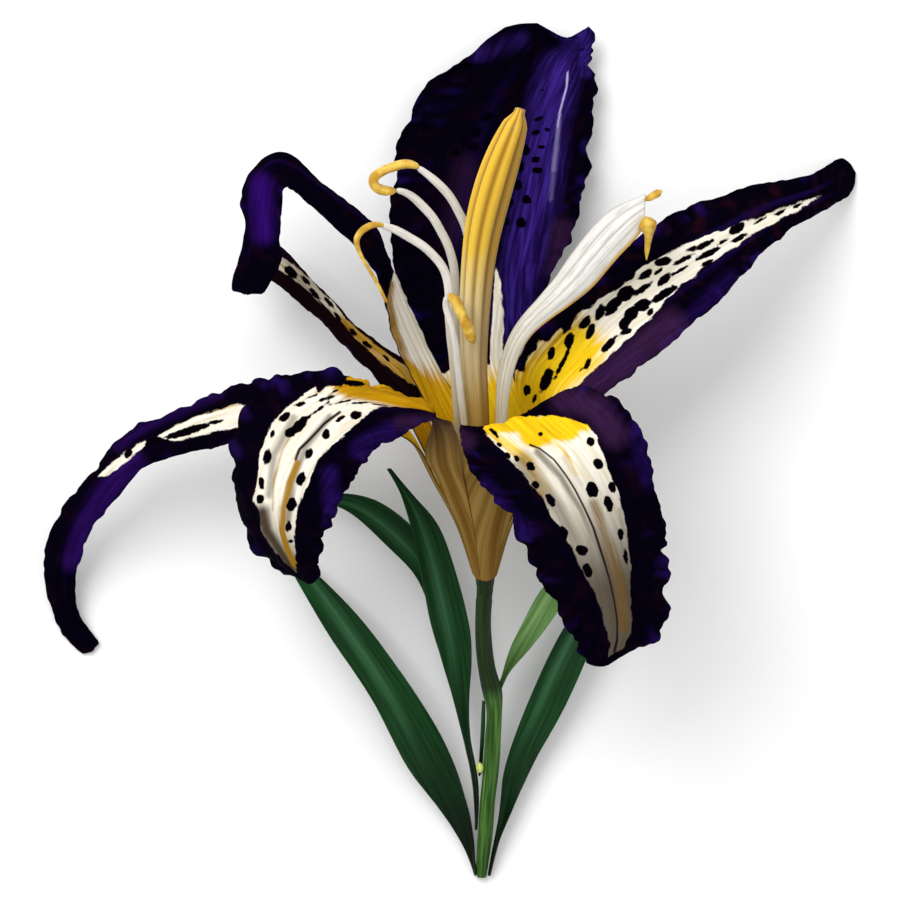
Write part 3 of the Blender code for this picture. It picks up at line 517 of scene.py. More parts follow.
        "ruffle": 0.55, "folds": ((0, 0.08, -0.5), (0.3, 0.1, 0.35), (-0.3, 0.12, 0.4)),
        "panels": ((
            (74.2, 50.8), (69, 49.4), (66.2, 48.4), (61.4, 46.2), (58.6, 45.6), (54.4, 43.8), (51.6, 42.8),
            (48, 41.5), (45.8, 40.2), (43.2, 39.1), (41.2, 38), (39, 36.8), (37.2, 35.5), (36.8, 34),
            (35.2, 33.5), (33.8, 32.2), (31.5, 30.8), (29.8, 29.8), (28, 28.2), (26.5, 28), (24.8, 25.8),
            (24.5, 24.2), (22.8, 22.9), (22.4, 24.2), (21, 23.2), (19.8, 21.6), (17.8, 22.1), (17.5, 20),
            (15.6, 18.8), (15, 15.6), (13.2, 16), (13.1, 13), (11.4, 11), (10.6, 8), (10.6, 5), (11.6, 2.8),
            (14, 3), (18.5, 6.5), (19.8, 8.5), (22, 11), (24.5, 12.2), (26.5, 13.5), (28.2, 15.2),
            (29.8, 16.8), (32, 18.8), (34.2, 20.8), (36.5, 22.8), (38.5, 25), (40.2, 26.2), (42.2, 28.8),
            (44, 30.8), (46, 32.8), (49, 34.5), (50.4, 36.4), (54.2, 38.6), (58, 41), (60, 42.8),
            (62.8, 44.2), (66, 46.2), (70, 48),
        ),),
        "spots": (
            (69.4, 48.6, 1.8, 0.7, 30), (66, 47.4, 2.6, 1, 30), (61.8, 45.8, 3, 0.8, 30),
            (57.2, 44.2, 3.8, 1.7, 30), (57.8, 42.2, 3.6, 1.1, 30), (54.4, 41.6, 2.2, 0.8, 30),
            (50.6, 40.9, 4.6, 1.2, 28), (51.6, 39.2, 5.4, 1.5, 25), (46.6, 38, 5, 1, 27),
            (51.4, 37.2, 2.8, 1, 30), (48.6, 40.3, 2.6, 0.8, 20), (42.6, 37.6, 3.6, 1.7, 14),
            (39.2, 35, 3.3, 1.4, 32), (41.5, 35.5, 2.8, 0.6, 38), (38.2, 32, 5, 1.2, 34),
            (42.8, 34, 3.6, 1.7, 40), (46, 35.9, 4.5, 0.7, 30), (42.8, 31, 6.6, 1.6, 34),
            (35.2, 31.2, 3.8, 2.7, 35), (32.9, 29.2, 4.4, 2.1, 42), (32.3, 27.8, 3.2, 1.3, 32),
            (30.1, 27.5, 3.4, 1.6, 66), (27.2, 25.4, 3.3, 1.6, 48), (28.2, 23.7, 3.5, 1.5, 64),
            (38.5, 28.8, 3.4, 2.5, 25), (36.4, 27.2, 3.5, 2.5, 50), (35, 25.2, 3, 2, 62),
            (35.3, 23.6, 2.6, 1.1, 22), (40.1, 27.5, 1.7, 1, 60), (31.8, 21, 4.4, 1.3, 47),
            (27.7, 17.2, 2.6, 1, 66), (26.4, 16, 1.2, 0.5, 45), (24, 21.8, 3.4, 1.8, 76),
            (22.6, 17.4, 7.2, 0.9, 64), (20.4, 19.2, 3, 1.5, 80), (19.4, 14, 5.2, 2.1, 68),
            (15.6, 12, 2.2, 1.6, 90), (17.2, 10.4, 1.9, 0.8, 72), (13.4, 8.8, 1.5, 1.1, 90),
            (15.8, 7.2, 1.9, 0.7, 76),
        ),
        "tip": 3.6, "yellow": ((((13, 7), (18, 13), (25, 20)), 11, 1.3),),
        "brown": ((((11, 4), (12, 9), (14.6, 16), (19, 21.6), (25, 26)), 3.6, 0.75),),
        "violet": ((((44, 22), (56, 34)), 3, 0.25), (((30, 14.5), (38, 19)), 2.5, 0.35)),
        "plum": ((((24, 10.5), (34, 16.5), (44, 25)), 5, 0.8),),
        "look": {"maroonShare": 0.8, "maroon": "#1c070f", "yellow": "#f4cf20", "yellowShade": "#dba612"},
    },
    {
        "node": "tepal_top", "clawAtBase": (160, 100), "clawAtRim": (195, 138), "lifts": (0.6, 0.6),
        "turned": True, "across": 120,
        "ribs": (
            ((-2, 14.4, 15.5), (6.6, 16, 14), (13.4, 17, 17)),
            ((-6.6, 23, 12.5), (5.4, 26, 9.8), (16.6, 26.5, 13.5)),
            ((-10.6, 33, 11), (5.8, 36, 7), (20.4, 34.5, 10.5)),
            ((-11.6, 44, 10), (7.6, 46, 4.8), (25.2, 45, 8.5)),
            ((-11.2, 56, 9), (10, 56, 2.3), (27.2, 55.5, 6.6)),
            ((-8.6, 66.4, 8), (12.8, 65.5, 0.75), (28.4, 66, 5.6)),
            ((-2.4, 74.9, 7.2), (16.4, 74, 0.75), (28.8, 74.5, 5)),
            ((7.2, 81.6, 6.6), (20.4, 80.4, 3.2), (28.6, 80.6, 5.4)),
            ((13.8, 84.9, 6.5), (22.6, 81.6, 4.6), (28.8, 83.2, 5.8)),
            ((19.4, 84.9, 6.5), (23.4, 82.3, 5.5), (27.2, 85.4, 6)),
        ),
        "ruffle": 0.9,
        "folds": (
            (0, 0.07, -0.7), (0.16, 0.05, 0.5), (0.42, 0.06, 0.9), (0.62, 0.05, 0.5), (-0.3, 0.1, 0.5),
        ),
        "panels": (((9, 37), (10.4, 33), (10.8, 20), (10.6, 10), (7.6, 9), (8.4, 24)),),
        "spots": (
            (17.6, 66.2, 2, 0.9, 10), (17.2, 63.4, 1.9, 1.2, 15), (15, 60, 2, 2.3, 20),
            (17.2, 58, 1.9, 1.3, 10), (17.4, 55.8, 1.9, 1.3, 0), (14, 56.6, 1.7, 2.1, 0),
            (13.4, 53, 2.1, 2.1, 0), (15.4, 50, 1.7, 1.9, 0), (11.8, 49.4, 1.7, 2.1, 0),
            (14.2, 45.4, 1.9, 2.1, 0), (18.4, 60.6, 1.5, 0.8, 0), (19.6, 64, 1, 0.8, 0),
            (18.4, 72, 0.6, 0.5, 0), (19.4, 74, 0.6, 0.5, 0), (9.6, 40.6, 1.3, 2.4, 10),
            (11.4, 45.6, 1, 1.7, 10), (7.4, 66.6, 2.5, 1.7, 20), (5, 63.4, 2.4, 2, 20),
            (2.6, 62.4, 2, 2, 0), (4.6, 60.6, 2.4, 1.6, 0), (1, 59.4, 2, 1.4, 0),
        ),
        "violet": (
            # painted highlight: this stroke turns violet the half of the tepal that faces the light
            (((12.6, 26), (15, 40), (18, 54), (19.4, 66), (22, 76)), 6.4, 1),
            (((22, 74), (24.6, 82)), 3.6, 0.7), (((27, 76), (26.8, 84)), 2.5, 0.9),
            (((6, 79), (14, 82)), 3, 0.3),
        ),
        "throat": 0.6, "tip": 0.5,
        "plum": ((((22.5, 44), (21.5, 36)), 4, 0.6), (((1, 44), (3, 56)), 5, 0.25)),
        "gleam": (
            (((23.5, 75.6), (23.4, 72.6), (22.6, 70)), 0.38, 1),
            (((22.6, 70), (22, 67.6), (21.6, 64.6)), 0.3, 0.9),
            (((22, 67), (21.4, 61), (20.8, 56)), 0.7, 0.28), (((20.8, 56), (20.2, 50)), 0.6, 0.12),
        ),
        "look": {"jag": 1.2, "spot": "#030108", "violet": "#170a40", "violetLight": "#432a94"},
    },
    {
        "node": "tepal_upper_left_arching", "clawAtBase": (205, 160), "clawAtRim": (227, 195),
        "lifts": (-0.9, -0.5), "turned": True, "across": 56,
        "ribs": (
            ((-8.6, 16.6, 27), (-5.6, 18, 22), (-3, 17.6, 18.4)),
            ((-12, 24.6, 28.5), (-9.6, 26.6, 24.5), (-7.4, 27, 19.5)),
            ((-13.8, 32.4, 30.5), (-12.4, 34.8, 27), (-11.2, 35.6, 22.5)),
            ((-17.6, 39.2, 32), (-15.8, 42.2, 29.5), (-14.6, 44, 25.5)),
            ((-23.6, 45, 33.5), (-21.8, 47.6, 31.5), (-20.2, 49.4, 28)),
            ((-29.4, 50.4, 35), (-28.4, 52.8, 33), (-27.4, 55, 29.5)),
            ((-33, 52.4, 37), (-35, 55.4, 34.5), (-35.4, 59.4, 30.5)),
            ((-33.6, 48.6, 38), (-37.4, 50.8, 36), (-41.4, 53.4, 32)),
            ((-34, 43.4, 37.5), (-37.6, 44.6, 36), (-41, 46.4, 32.5)),
            ((-34.2, 36.6, 35.6), (-38.2, 37, 34.8), (-42.4, 37.4, 32)),
            ((-37.8, 31, 32.5), (-40.8, 31.2, 32.5), (-43.8, 31.6, 31)),
        ),
        "ruffle": 0.5, "tip": 0.8, "folds": ((0, 0.12, -0.4), (0.5, 0.12, 0.3)),
        "panels": ((
            (-10.6, 38.4), (-9.6, 33), (-8.4, 29.2), (-6, 24.4), (-3.2, 18), (0, 12), (1, 9.6), (-4, 9),
            (-7.8, 12), (-10.4, 17), (-12, 23.2), (-12.8, 29.5), (-12.2, 33),
        ),),
        "yellow": ((((-9.6, 16.4), (-4, 11)), 3.2, 1.8),),
        "brown": ((((-12.4, 33), (-12.6, 29), (-11.2, 23.4), (-8.6, 17.6), (-5.4, 12.4)), 2, 1.2),),
        "violet": ((((-37.6, 53), (-37.2, 43.4)), 3.6, 0.85),),
        "look": {
            "jag": 0.5,
            "violet": "#220650",
            "violetLight": "#330f70",
            "pale": "#dcdad4",
            "brown": "#8a6826",
            "yellow": "#c89a12",
            "yellowShade": "#94680a",
        },
    },
    {
        "node": "tepal_upper_left_spotted", "clawAtBase": (205, 250), "clawAtRim": (227, 262),
        "lifts": (0.8, -0.4), "turned": False, "across": 56,
        "ribs": (
            ((-7, 15.5, 21), (-9.5, 11.8, 25.5), (-9.4, 7.6, 30)),
            ((-12.5, 20.4, 19), (-14.5, 16.8, 23.5), (-14.4, 14.2, 28)),
            ((-18.6, 24.8, 17), (-20, 21.6, 22), (-19.6, 19.2, 26)),
            ((-24.6, 31, 15), (-25.4, 27.4, 20), (-25.2, 25.2, 23.5)),
            ((-30.4, 37, 13.5), (-31, 32.8, 18), (-30.6, 29.8, 21)),
            ((-35, 41, 12), (-35.6, 36.6, 15.5), (-35.2, 33.6, 17.6)),
            ((-40.5, 39.5, 10.5), (-41, 37.6, 11.5), (-40.8, 36, 12)),
        ),
        "ruffle": 0.3, "folds": ((0, 0.12, -0.4),),
        "panels": ((
            (-34.6, 39.2), (-30.4, 36.2), (-27, 33), (-23.6, 29.4), (-19.6, 24.8), (-15, 21), (-10, 17.2),
            (-5, 15), (-2, 12.6), (0.5, 9.5), (-1, 9.6), (-6, 12.2), (-9.6, 14.2), (-13, 16.8), (-17, 20.2),
            (-20.6, 24), (-24, 27.6), (-28, 31.2), (-31.6, 34.4), (-35, 36.6),
        ),),
        "spots": (
            (-31.8, 35.4, 3.4, 1.7, -45), (-29, 33.8, 2.4, 1, -50), (-27.2, 31, 3.2, 1.1, -48),
            (-24.4, 29.4, 2.8, 0.9, -48), (-22.6, 26.6, 2.4, 0.9, -48), (-19.6, 23.6, 2.2, 0.9, -45),
            (-16.6, 20.8, 2.2, 0.9, -40), (-12.8, 18.2, 2.2, 0.8, -40),
        ),
        "yellow": ((((-21, 25), (-10, 15.5), (0, 10)), 4, 1),),
        "brown": ((((-34, 37.6), (-24, 28), (-12, 16.4), (0, 10)), 2.4, 0.6),),
        "look": {
            "dark": "#060207",
            "darkLight": "#1a0a0c",
            "pale": "#d6cfbc",
            "paleShade": "#8e8468",
            "yellow": "#c09012",
            "yellowShade": "#80590a",
            "brown": "#6a4c14",
        },
    },
    {
        "node": "tepal_far_left", "clawAtBase": (250, 295), "clawAtRim": (262, 300), "lifts": (0.4, 0.4),
        "turned": False, "across": 64,
        "ribs": (
            ((-16, 10.5, 30), (-15.4, 7.6, 34.6), (-14, 4.2, 38)),
            ((-27, 13.6, 27.5), (-26, 9.6, 32.8), (-24.5, 5.2, 36)),
            ((-37, 14, 25.5), (-36, 9.4, 30.8), (-35, 4.4, 33.6)),
            ((-44.5, 12.2, 24), (-43.8, 7.4, 28.8), (-43.2, 1.6, 31)),
            ((-52.5, 9.2, 22), (-51.6, 4.8, 26), (-50, 0, 27.8)),
            ((-60, 5.8, 19.5), (-58.6, 2, 23), (-57, -1.9, 24.4)),
            ((-66.4, 1.6, 17), (-64.8, -1.6, 20), (-61.8, -4, 21)),
            ((-71.6, -4.6, 14.5), (-69.4, -6.4, 17), (-66.4, -9.2, 17.8)),
            ((-76.6, -10.2, 11.5), (-73.4, -11.6, 14), (-70, -13.6, 14.6)),
            ((-80, -16.8, 8.5), (-76.4, -17.4, 10.8), (-72.6, -18, 11)),
            ((-81.2, -23.4, 5.6), (-78, -23.8, 7.6), (-74.6, -24, 7.6)),
            ((-80.2, -30, 3), (-77.8, -30, 4.8), (-75, -30, 4.6)),
            ((-77.6, -36.4, 1.3), (-75.6, -35.4, 2.6), (-73.2, -34.4, 2.2)),
            ((-72.8, -40.8, 0.45), (-71.6, -40.2, 1), (-70, -39, 0.8)),
        ),
        "ruffle": 0.85, "tip": 0.9, "folds": ((0, 0.12, -0.5), (0.4, 0.1, 0.3)),
        "panels": (
            (
                (-58.6, 2.6), (-54, 5.2), (-50.6, 6.6), (-46, 8), (-42.6, 9), (-36, 9.6), (-20, 9),
                (-20, 5), (-36, 4.6), (-43, 4.4), (-48, 3.4), (-52, 2.4), (-55.6, 1.6),
            ),
            ((-70.6, -5.4), (-66.5, -1.8), (-62.6, 1), (-60.5, 2), (-61.5, 0), (-64, -2), (-67.6, -4.8)),
        ),
        "spots": (
            (-52.6, 3.6, 9.6, 1.7, 17), (-47, 5.4, 3.6, 0.8, 12), (-58.6, 1.8, 2.6, 1.6, 30),
            (-64.2, -0.8, 2.2, 1.5, 50),
        ),
        "yellow": ((((-36, 7), (-20, 7)), 4, 0.6),),
        "brown": ((((-42, 9.2), (-50, 7), (-56, 4.6)), 0.9, 0.8),),
        "violet": (
            (((-63, -2.6), (-68.5, -8), (-73, -15), (-75.4, -22)), 3.6, 0.95),
            # painted highlight: a violet sheen along the upper rim
            (((-46, 11.2), (-54, 7.6), (-60.6, 4.6), (-66.4, 0.6)), 1.8, 0.5),
        ),
        "look": {"jag": 1.5, "violet": "#1c073e", "violetLight": "#2d0f5e", "brown": "#a8843c"},
    },
]

petalBuild = {
    "along": 264,
    "thickness": (0.55, 0.3),  # mm, at the midrib and at the rim
    "tip": 2.2,  # mm over which the end is rounded
    "foot": (1.2, 7.0),  # mm that the claw laps down over the cup, and the length over which that fades
    "lowest": 0.35,  # mm, so that no petal goes into the floor
    # height, length along and length across in mm, and what is added to the seed
    "waves": ((1.15, 2.9, 6, 0), (0.7, 1.3, 2.6, 2), (0.36, 0.85, 0.95, 3)),
    "veins": (0.035, 1.3),  # height and spacing
    "ragged": ((0.75, 3.1, 5), (0.3, 1.2, 6)),  # depth, length along, added to the seed
}


def buildTepal(spec, seed):
    # claw and blade as one surface, lifted along its normal by edge waves, folds and veins, then stepped in
    # and out at its edge; the marks are fields of distance or strength measured in the picture plane
    ribs = [clawRib(spec, height) for height in funnel["ribHeights"]] + list(spec["ribs"])
    surface, s, t, halfWidth, normal, knots = bladeSurface(
        ribs, petalBuild["along"], spec["across"], spec["turned"], spec.get("tip", petalBuild["tip"])
    )
    length = knots[-1]
    across = t * halfWidth
    side = np.sign(t)
    blade = ease(knots[5], knots[7], s)  # 0 in the claw, 1 on the blade
    edge = ease(0.42, 1, np.abs(t)) * blade
    outline = ease(0.75, 1, np.abs(t)) * blade
    aside = np.gradient(surface, axis=1)
    aside /= np.linalg.norm(aside, axis=2, keepdims=True)

    # ruffle: uneven waves across each edge that grow towards it, with crinkles and small puffs between
    puffs = 0
    for height, longways, sideways, turn in petalBuild["waves"]:
        puffs = puffs + height * roughField(s / longways, across / sideways + 40, seed + turn)
    broad = 0.3 + 0.7 * ease(1.5, 8, halfWidth)
    lift = spec["ruffle"] * broad * edge * puffs
    # long folds beside the midrib, each a smooth ridge or groove, and fine veins between them
    fading = blade * (1 - ease(0.86 * length, length, s))
    for place, width, height in spec["folds"]:
        lift += height * fading * np.exp(-(((t - place) / width)**2))
    height, spacing = petalBuild["veins"]
    wander = 0.6 * roughField(s / 9, across / 4 + 20, seed + 4)
    lift += height * (1 - edge) * (0.25 + 0.75 * blade) * np.cos(across * fullTurn / spacing + wander)
    surface = surface + normal * lift[..., None]
    # ragged outline: the edge steps in and out in its own plane
    ragged = 0
    for depth, longways, turn in petalBuild["ragged"]:
        ragged = ragged + depth * roughField(s / longways, side + 3.5, seed + turn)
    surface = surface + aside * (side * outline * ragged * broad * (0.4 + 0.6 * spec["ruffle"]))[..., None]
    # the foot of each claw laps down over the cup, furthest at the front of the tube
    around = np.radians(np.mean(spec["clawAtBase"]) + t * (spec["clawAtBase"][1] - spec["clawAtBase"][0]) / 2)
    drop, reach = petalBuild["foot"]
    foot = (1 - ease(0, reach, s)) * np.clip(np.cos(around), 0, 1) * drop
    surface = surface - funnelWay * foot[..., None]
    surface[..., 2] = np.maximum(surface[..., 2], petalBuild["lowest"])

    x, y = surface[..., 0], surface[..., 1]
    panel = 8 * (spec.get("throat", 0.2) - blade)  # inside the funnel the face is pale and yellow
    for shape in spec["panels"]:
        panel = np.maximum(panel, insideBy(x, y, shape))
    line = np.full(x.shape, outside)
    for path in spec.get("lines", ()):
        line = np.minimum(line, nearPath(x, y, path))
    marked = blade > 0.02
    zero = np.zeros(x.shape)
    claw = 1 - ease(knots[4], knots[7], s)
    stains = {}
    for key in ("yellow", "brown", "violet", "plum", "gleam", "shades"):
        stains[key] = stained(x, y, spec.get(key, ()))
    # painted shade: the pale face greys towards the tip and along the shades strokes
    painted_shade = 0.95 * ease(*spec.get("painted_shade", (2, 3)), s / length)
    # height of the ruffles, from which the material paints a violet highlight on raised lumps
    raised = 0.55 * lift / spec["ruffle"]
    fields = {
        "inner": (zero + 1, zero),
        "panel": (panel, zero - outside),
        "spot": (np.where(marked, inSpots(x, y, spec.get("spots", ())), -outside), zero - outside),
        "line": (np.where(marked, line, outside), zero + outside),
        "yellow": (np.maximum(stains["yellow"], 1.4 * (1 - ease(0, 0.9, blade))), zero),
        "brown": (stains["brown"] * blade, zero),
        "violet": (stains["violet"], stains["violet"]),
        "plum": (stains["plum"], zero),
        "gleam": (stains["gleam"], zero),
        "painted_shade": (np.maximum(painted_shade, stains["shades"]), zero),
        "claw": (claw, claw),
        "raised": (0.5 + raised, 0.5 - raised),
    }
    name = spec["node"].replace("tepal", "petal")
    piece = closedSheet(name, surface, s, t, halfWidth, petalBuild["thickness"], fields, spec["turned"])
    finishPiece(piece, spec["node"], petalSkin(spec, dict(baseLook, **spec["look"])))


for number, spec in enumerate(tepals):
    buildTepal(spec, 100 + 20 * number)
print("tepals made")


# Leaves and the side shoot, each from three smooth rails through its ribs, from the stem to the tip.
leaves = [
    {
        "node": "leaf_lower_left", "slot": "green_leaf", "across": 60, "turned": True,
        "ribs": (
            ((5, -85.2, 1), (5.1, -85.1, 1.5), (5.3, -85, 2)),
            ((4.3, -83, 1.7), (4.7, -82.8, 2.4), (5, -82.6, 3.2)),
            ((3, -80, 2.6), (3.9, -79.6, 3), (4.8, -79.2, 3.8)),
            ((-2, -72, 4.6), (0.9, -71.6, 4.6), (3.4, -71, 5.6)),
            ((-8, -64.2, 6.8), (-3.8, -62.6, 6.4), (0, -61, 7.4)),
            ((-14.4, -52, 9), (-10.2, -50.6, 8.2), (-6.2, -49.8, 9.2)),
            ((-20.8, -42, 10), (-16.8, -40.2, 9), (-12.6, -40.6, 9.8)),
            ((-26.4, -33.4, 9.4), (-23.2, -31, 8.4), (-19.4, -32.2, 9)),
            ((-31, -25.4, 7.6), (-28.8, -24, 6.9), (-26.4, -25.2, 7.4)),
            ((-35.2, -18.2, 5.4), (-34.6, -17.8, 5.2), (-34, -18.4, 5.4)),
        ),
    },
    {
        "node": "leaf_centre_left", "slot": "green_leaf", "across": 50, "turned": True,
        "ribs": (
            ((5.1, -76, 3.2), (5.2, -76, 3.5), (5.3, -76, 3.8)),
            ((4.5, -66.4, 5), (5, -66.2, 6), (5.5, -66, 7)),
            ((2.6, -57.4, 8.4), (3.3, -57.4, 8.4), (4, -57.6, 9.4)),
            ((-0.4, -46, 11.4), (1.9, -46, 10.8), (4, -46, 11.6)),
            ((-3.4, -36, 13.8), (0.4, -36, 12.8), (4, -37, 13.6)),
            ((-5.8, -25, 15.2), (-2.2, -25, 14.2), (1, -24, 15)),
            ((-8.2, -14, 15.6), (-5.6, -14.2, 14.8), (-3, -14.2, 15.4)),
            ((-10.6, -7.2, 15.6), (-9.4, -7.6, 15.2), (-7.8, -8.6, 15.4)),
            ((-12.6, -3.8, 15.4), (-12.2, -3.7, 15.3), (-11.8, -3.9, 15.4)),
        ),
    },
    {
        "node": "leaf_behind", "slot": "green_leaf", "across": 44, "turned": True,
        "ribs": (
            ((4.1, -64.2, 4.8), (4.3, -64, 4.9), (4.5, -63.8, 5)),
            ((0.8, -50, 6.6), (2, -49.4, 6.4), (3.2, -49, 6.8)),
            ((-2.6, -37, 8.4), (-0.8, -36, 8), (1, -35.2, 8.4)),
            ((-6.8, -25.4, 9.6), (-4.8, -23.4, 9.2), (-2.6, -22, 9.6)),
            ((-13.2, -18.6, 10.2), (-11.6, -15.6, 9.8), (-9.2, -13.8, 10.2)),
            ((-20, -12.6, 10.2), (-19, -10.8, 9.8), (-17.6, -9.2, 10.2)),
            ((-27, -9.8, 9.4), (-26.8, -9.3, 9.4), (-26.4, -8.8, 9.4)),
        ),
    },
    {
        "node": "leaf_lower_right", "slot": "green_leaf", "across": 56, "turned": True,
        "ribs": (
            ((7.6, -85.2, 0.9), (7.8, -85.1, 1.4), (7.9, -85, 1.9)),
            ((8.5, -80, 2.2), (8.9, -80, 2.8), (9.2, -79.8, 3.8)),
            ((9.9, -71.8, 3.8), (11.2, -72, 4), (12.5, -71.8, 5)),
            ((10.8, -64.4, 5.2), (13.2, -63.6, 5), (16.2, -63.6, 5.8)),
            ((13.8, -55.2, 6.8), (17.4, -54, 6.2), (21.2, -54.6, 6.8)),
            ((18, -45, 8), (21.8, -44, 7.4), (25.2, -46.6, 7.8)),
            ((23, -35.2, 8.2), (26.2, -35, 7.8), (28.6, -38.4, 8)),
            ((28.4, -27.6, 7.6), (29.8, -27.4, 7.3), (31.4, -29.4, 7.6)),
            ((32.4, -22.2, 6.6), (32.8, -22, 6.6), (33.2, -22.4, 6.6)),
        ),
    },
    {
        "node": "leaf_sliver", "slot": "green_leaf", "across": 12, "turned": True,
        "ribs": (
            ((5.8, -65.2, 4.4), (6.1, -64.8, 4), (6.3, -64.4, 3.6)),
            ((5.9, -60.4, 6.2), (6.3, -60.4, 6.2), (6.7, -60.4, 6.2)),
            ((6.2, -55.2, 8.4), (6.6, -55.2, 8.3), (7, -55.2, 8.2)),
            ((6.4, -50.2, 10.4), (6.7, -50.2, 10.4), (7, -50.2, 10.4)),
        ),
    },
    {
        "node": "side_shoot", "slot": "light_shoot", "across": 36, "turned": True,
        "ribs": (
            ((9.5, -48, 13.2), (9.8, -48.1, 13.6), (10.1, -48.2, 14)),
            ((10.5, -44.6, 13.8), (11, -44.8, 14), (11.5, -45, 14.6)),
            ((12.2, -39.4, 15.2), (13.6, -40, 15), (15, -40.8, 15.8)),
            ((15, -33.8, 16), (16.9, -34.6, 15.6), (19.2, -35.6, 16)),
            ((18.8, -27.4, 16), (20.9, -28, 15.6), (23, -29.4, 16)),
            ((24.6, -21.8, 15), (25, -21.8, 15), (25.4, -22.2, 15)),
        ),
    },
]

leafBuild = {
    "along": 140,
    "thickness": (0.5, 0.28),  # mm, at the midrib and at the rim
    "midrib": (0.3, 0.35),  # depth and width of its groove
    "pleats": (0.05, 1.5),  # height and spacing
    "wave": (0.16, 7),  # height and length
    "colours": {  # dark, middle, light and the pale of a painted highlight beside the midrib
        "green_leaf": ("#010b02", "#08300d", "#185024", "#4a7f58"),
        "light_shoot": ("#2c4a1c", "#4f7a36", "#86ae6c", "#9cc07e"),
    },
}


# Lily leaf: a waxy skin over fine parallel veins, which breaks its soft shine into long streaks. A painted
# highlight lies in a pale band beside the midrib, and the foot is darker.
def leafSkin(name, dark, middle, light, pale):
    material, tree, shader = newSkin("leaf " + name, 0.42, ior=1.2)
    fromBase = addNode(tree, "Attribute", attribute_name="fromBase", out="Fac")
    midrib = addNode(tree, "Attribute", attribute_name="midrib", out="Fac")
    veins = grainOf(tree, 0.03, 1.7, 4)
    fine = grainOf(tree, 0.03, 6, 2)
    cloud = grainOf(tree, 1, 0.12, 2)
    lit = addNode(tree, "MapRange", [(0, veins), (1, 0.3), (2, 0.8)], **soft)
    shaded = addNode(tree, "Math", [(0, cloud), (1, 0.5)], operation="MULTIPLY")
    colour = middle
    for share, over in ((lit, light), (shaded, dark), (midrib, pale)):
        colour = addNode(tree, "Mix", [(0, share), (6, colour), (7, over)], **rgba)
    colour = addNode(tree, "Mix", [(0, fromBase), (6, dark), (7, colour)], **rgba)
    relief = addNode(tree, "Math", [(0, fine), (1, 0.5), (2, veins)], operation="MULTIPLY_ADD")
    coverSkin(tree, shader, colour, relief, 0.18, 0.0003)
    return material


for number, spec in enumerate(leaves):
    surface, s, t, halfWidth, normal, knots = bladeSurface(
        spec["ribs"], leafBuild["along"], spec["across"], spec["turned"]
    )
    length = knots[-1]
    across = t * halfWidth
    # a groove along the midrib, rounded pleats beside it, and a slow wave of the blade
    height, width = leafBuild["midrib"]
    lift = -height * np.exp(-((across / width)**2)) * ease(0.3, 1, halfWidth)
    height, spacing = leafBuild["pleats"]
    lift += height * np.cos(across * fullTurn / spacing) * ease(1, 2.5, halfWidth)
    height, spacing = leafBuild["wave"]
    lift += height * roughField(s / spacing, t + 5, 300 + number) * ease(1, 3, halfWidth)
    fromBase = ease(0, 0.55 * length, s)
    # painted highlight: a pale band beside the midrib, towards one edge, growing away from the base
    midrib = 0.45 * np.exp(-(((t + 0.2) / 0.28)**2)) * ease(0.25 * length, 0.7 * length, s)
    fields = {"fromBase": (fromBase, fromBase), "midrib": (midrib, midrib)}
    surface = surface + normal * lift[..., None]
    node, slot = spec["node"], spec["slot"]
    piece = closedSheet(node, surface, s, t, halfWidth, leafBuild["thickness"], fields, spec["turned"])
    finishPiece(piece, node, leafSkin(node, *leafBuild["colours"][slot]))
print("leaves made")


def roundPiece(name, stations, steps, profile, blunt=0.25):
    # R(s, a) = line(s) + r(s) p(s, a) (cos a e1 + sin a e2): line and r are smooth through the stations'
    # points and radii, p is the profile, and e1 and e2 are carried along the line unturned. The ends are
    # rounded in to the share blunt of the radius.
    along, sides = steps
    points = np.array([station[0] for station in stations])
    radii = np.array([[station[1]] for station in stations])
    knots = np.concatenate([[0.0], np.cumsum(np.linalg.norm(np.diff(points, axis=0), axis=1))])
    s = np.linspace(0, knots[-1], along + 1)
    line = smooth(knots, points, s)
    radius = np.maximum(smooth(knots, radii, s)[:, 0], 0.15)
    ahead = np.gradient(line, axis=0)
    ahead /= np.linalg.norm(ahead, axis=1, keepdims=True)
    side = np.cross(ahead[0], (0.0, 0.0, 1.0))
    sideways = []
    for way in ahead:
        side = side - way * (side @ way)
        side = side / np.linalg.norm(side)
        sideways.append(side)
    first = np.array(sideways)
    second = np.cross(ahead, first)
    s, a = np.meshgrid(s, np.linspace(0, fullTurn, sides, endpoint=False), indexing="ij")
    ends = np.sqrt(np.clip(np.minimum(s, knots[-1] - s) / (0.8 * radius.max()), 0.02, 1))
    reach = radius[:, None] * profile(s, a, knots[-1]) * np.clip(ends, blunt, 1)
    around = np.cos(a)[..., None] * first[:, None] + np.sin(a)[..., None] * second[:, None]
    verts = trueSize((line[:, None] + reach[..., None] * around).reshape(-1, 3))
    quads = gridFaces(along + 1, sides, closed=True)
    caps = [np.arange(sides)[::-1], np.arange(along * sides, (along + 1) * sides)]
    turned = facesOut(verts, quads)
    if turned is not quads:
        caps = [cap[::-1] for cap in caps]
    uv = np.stack([np.abs(a - math.pi) * radius.mean(), s], -1).reshape(-1, 2)
    return makeMesh(name, verts, turned, uv, {"height": s / knots[-1], "around": np.cos(a)}, caps)


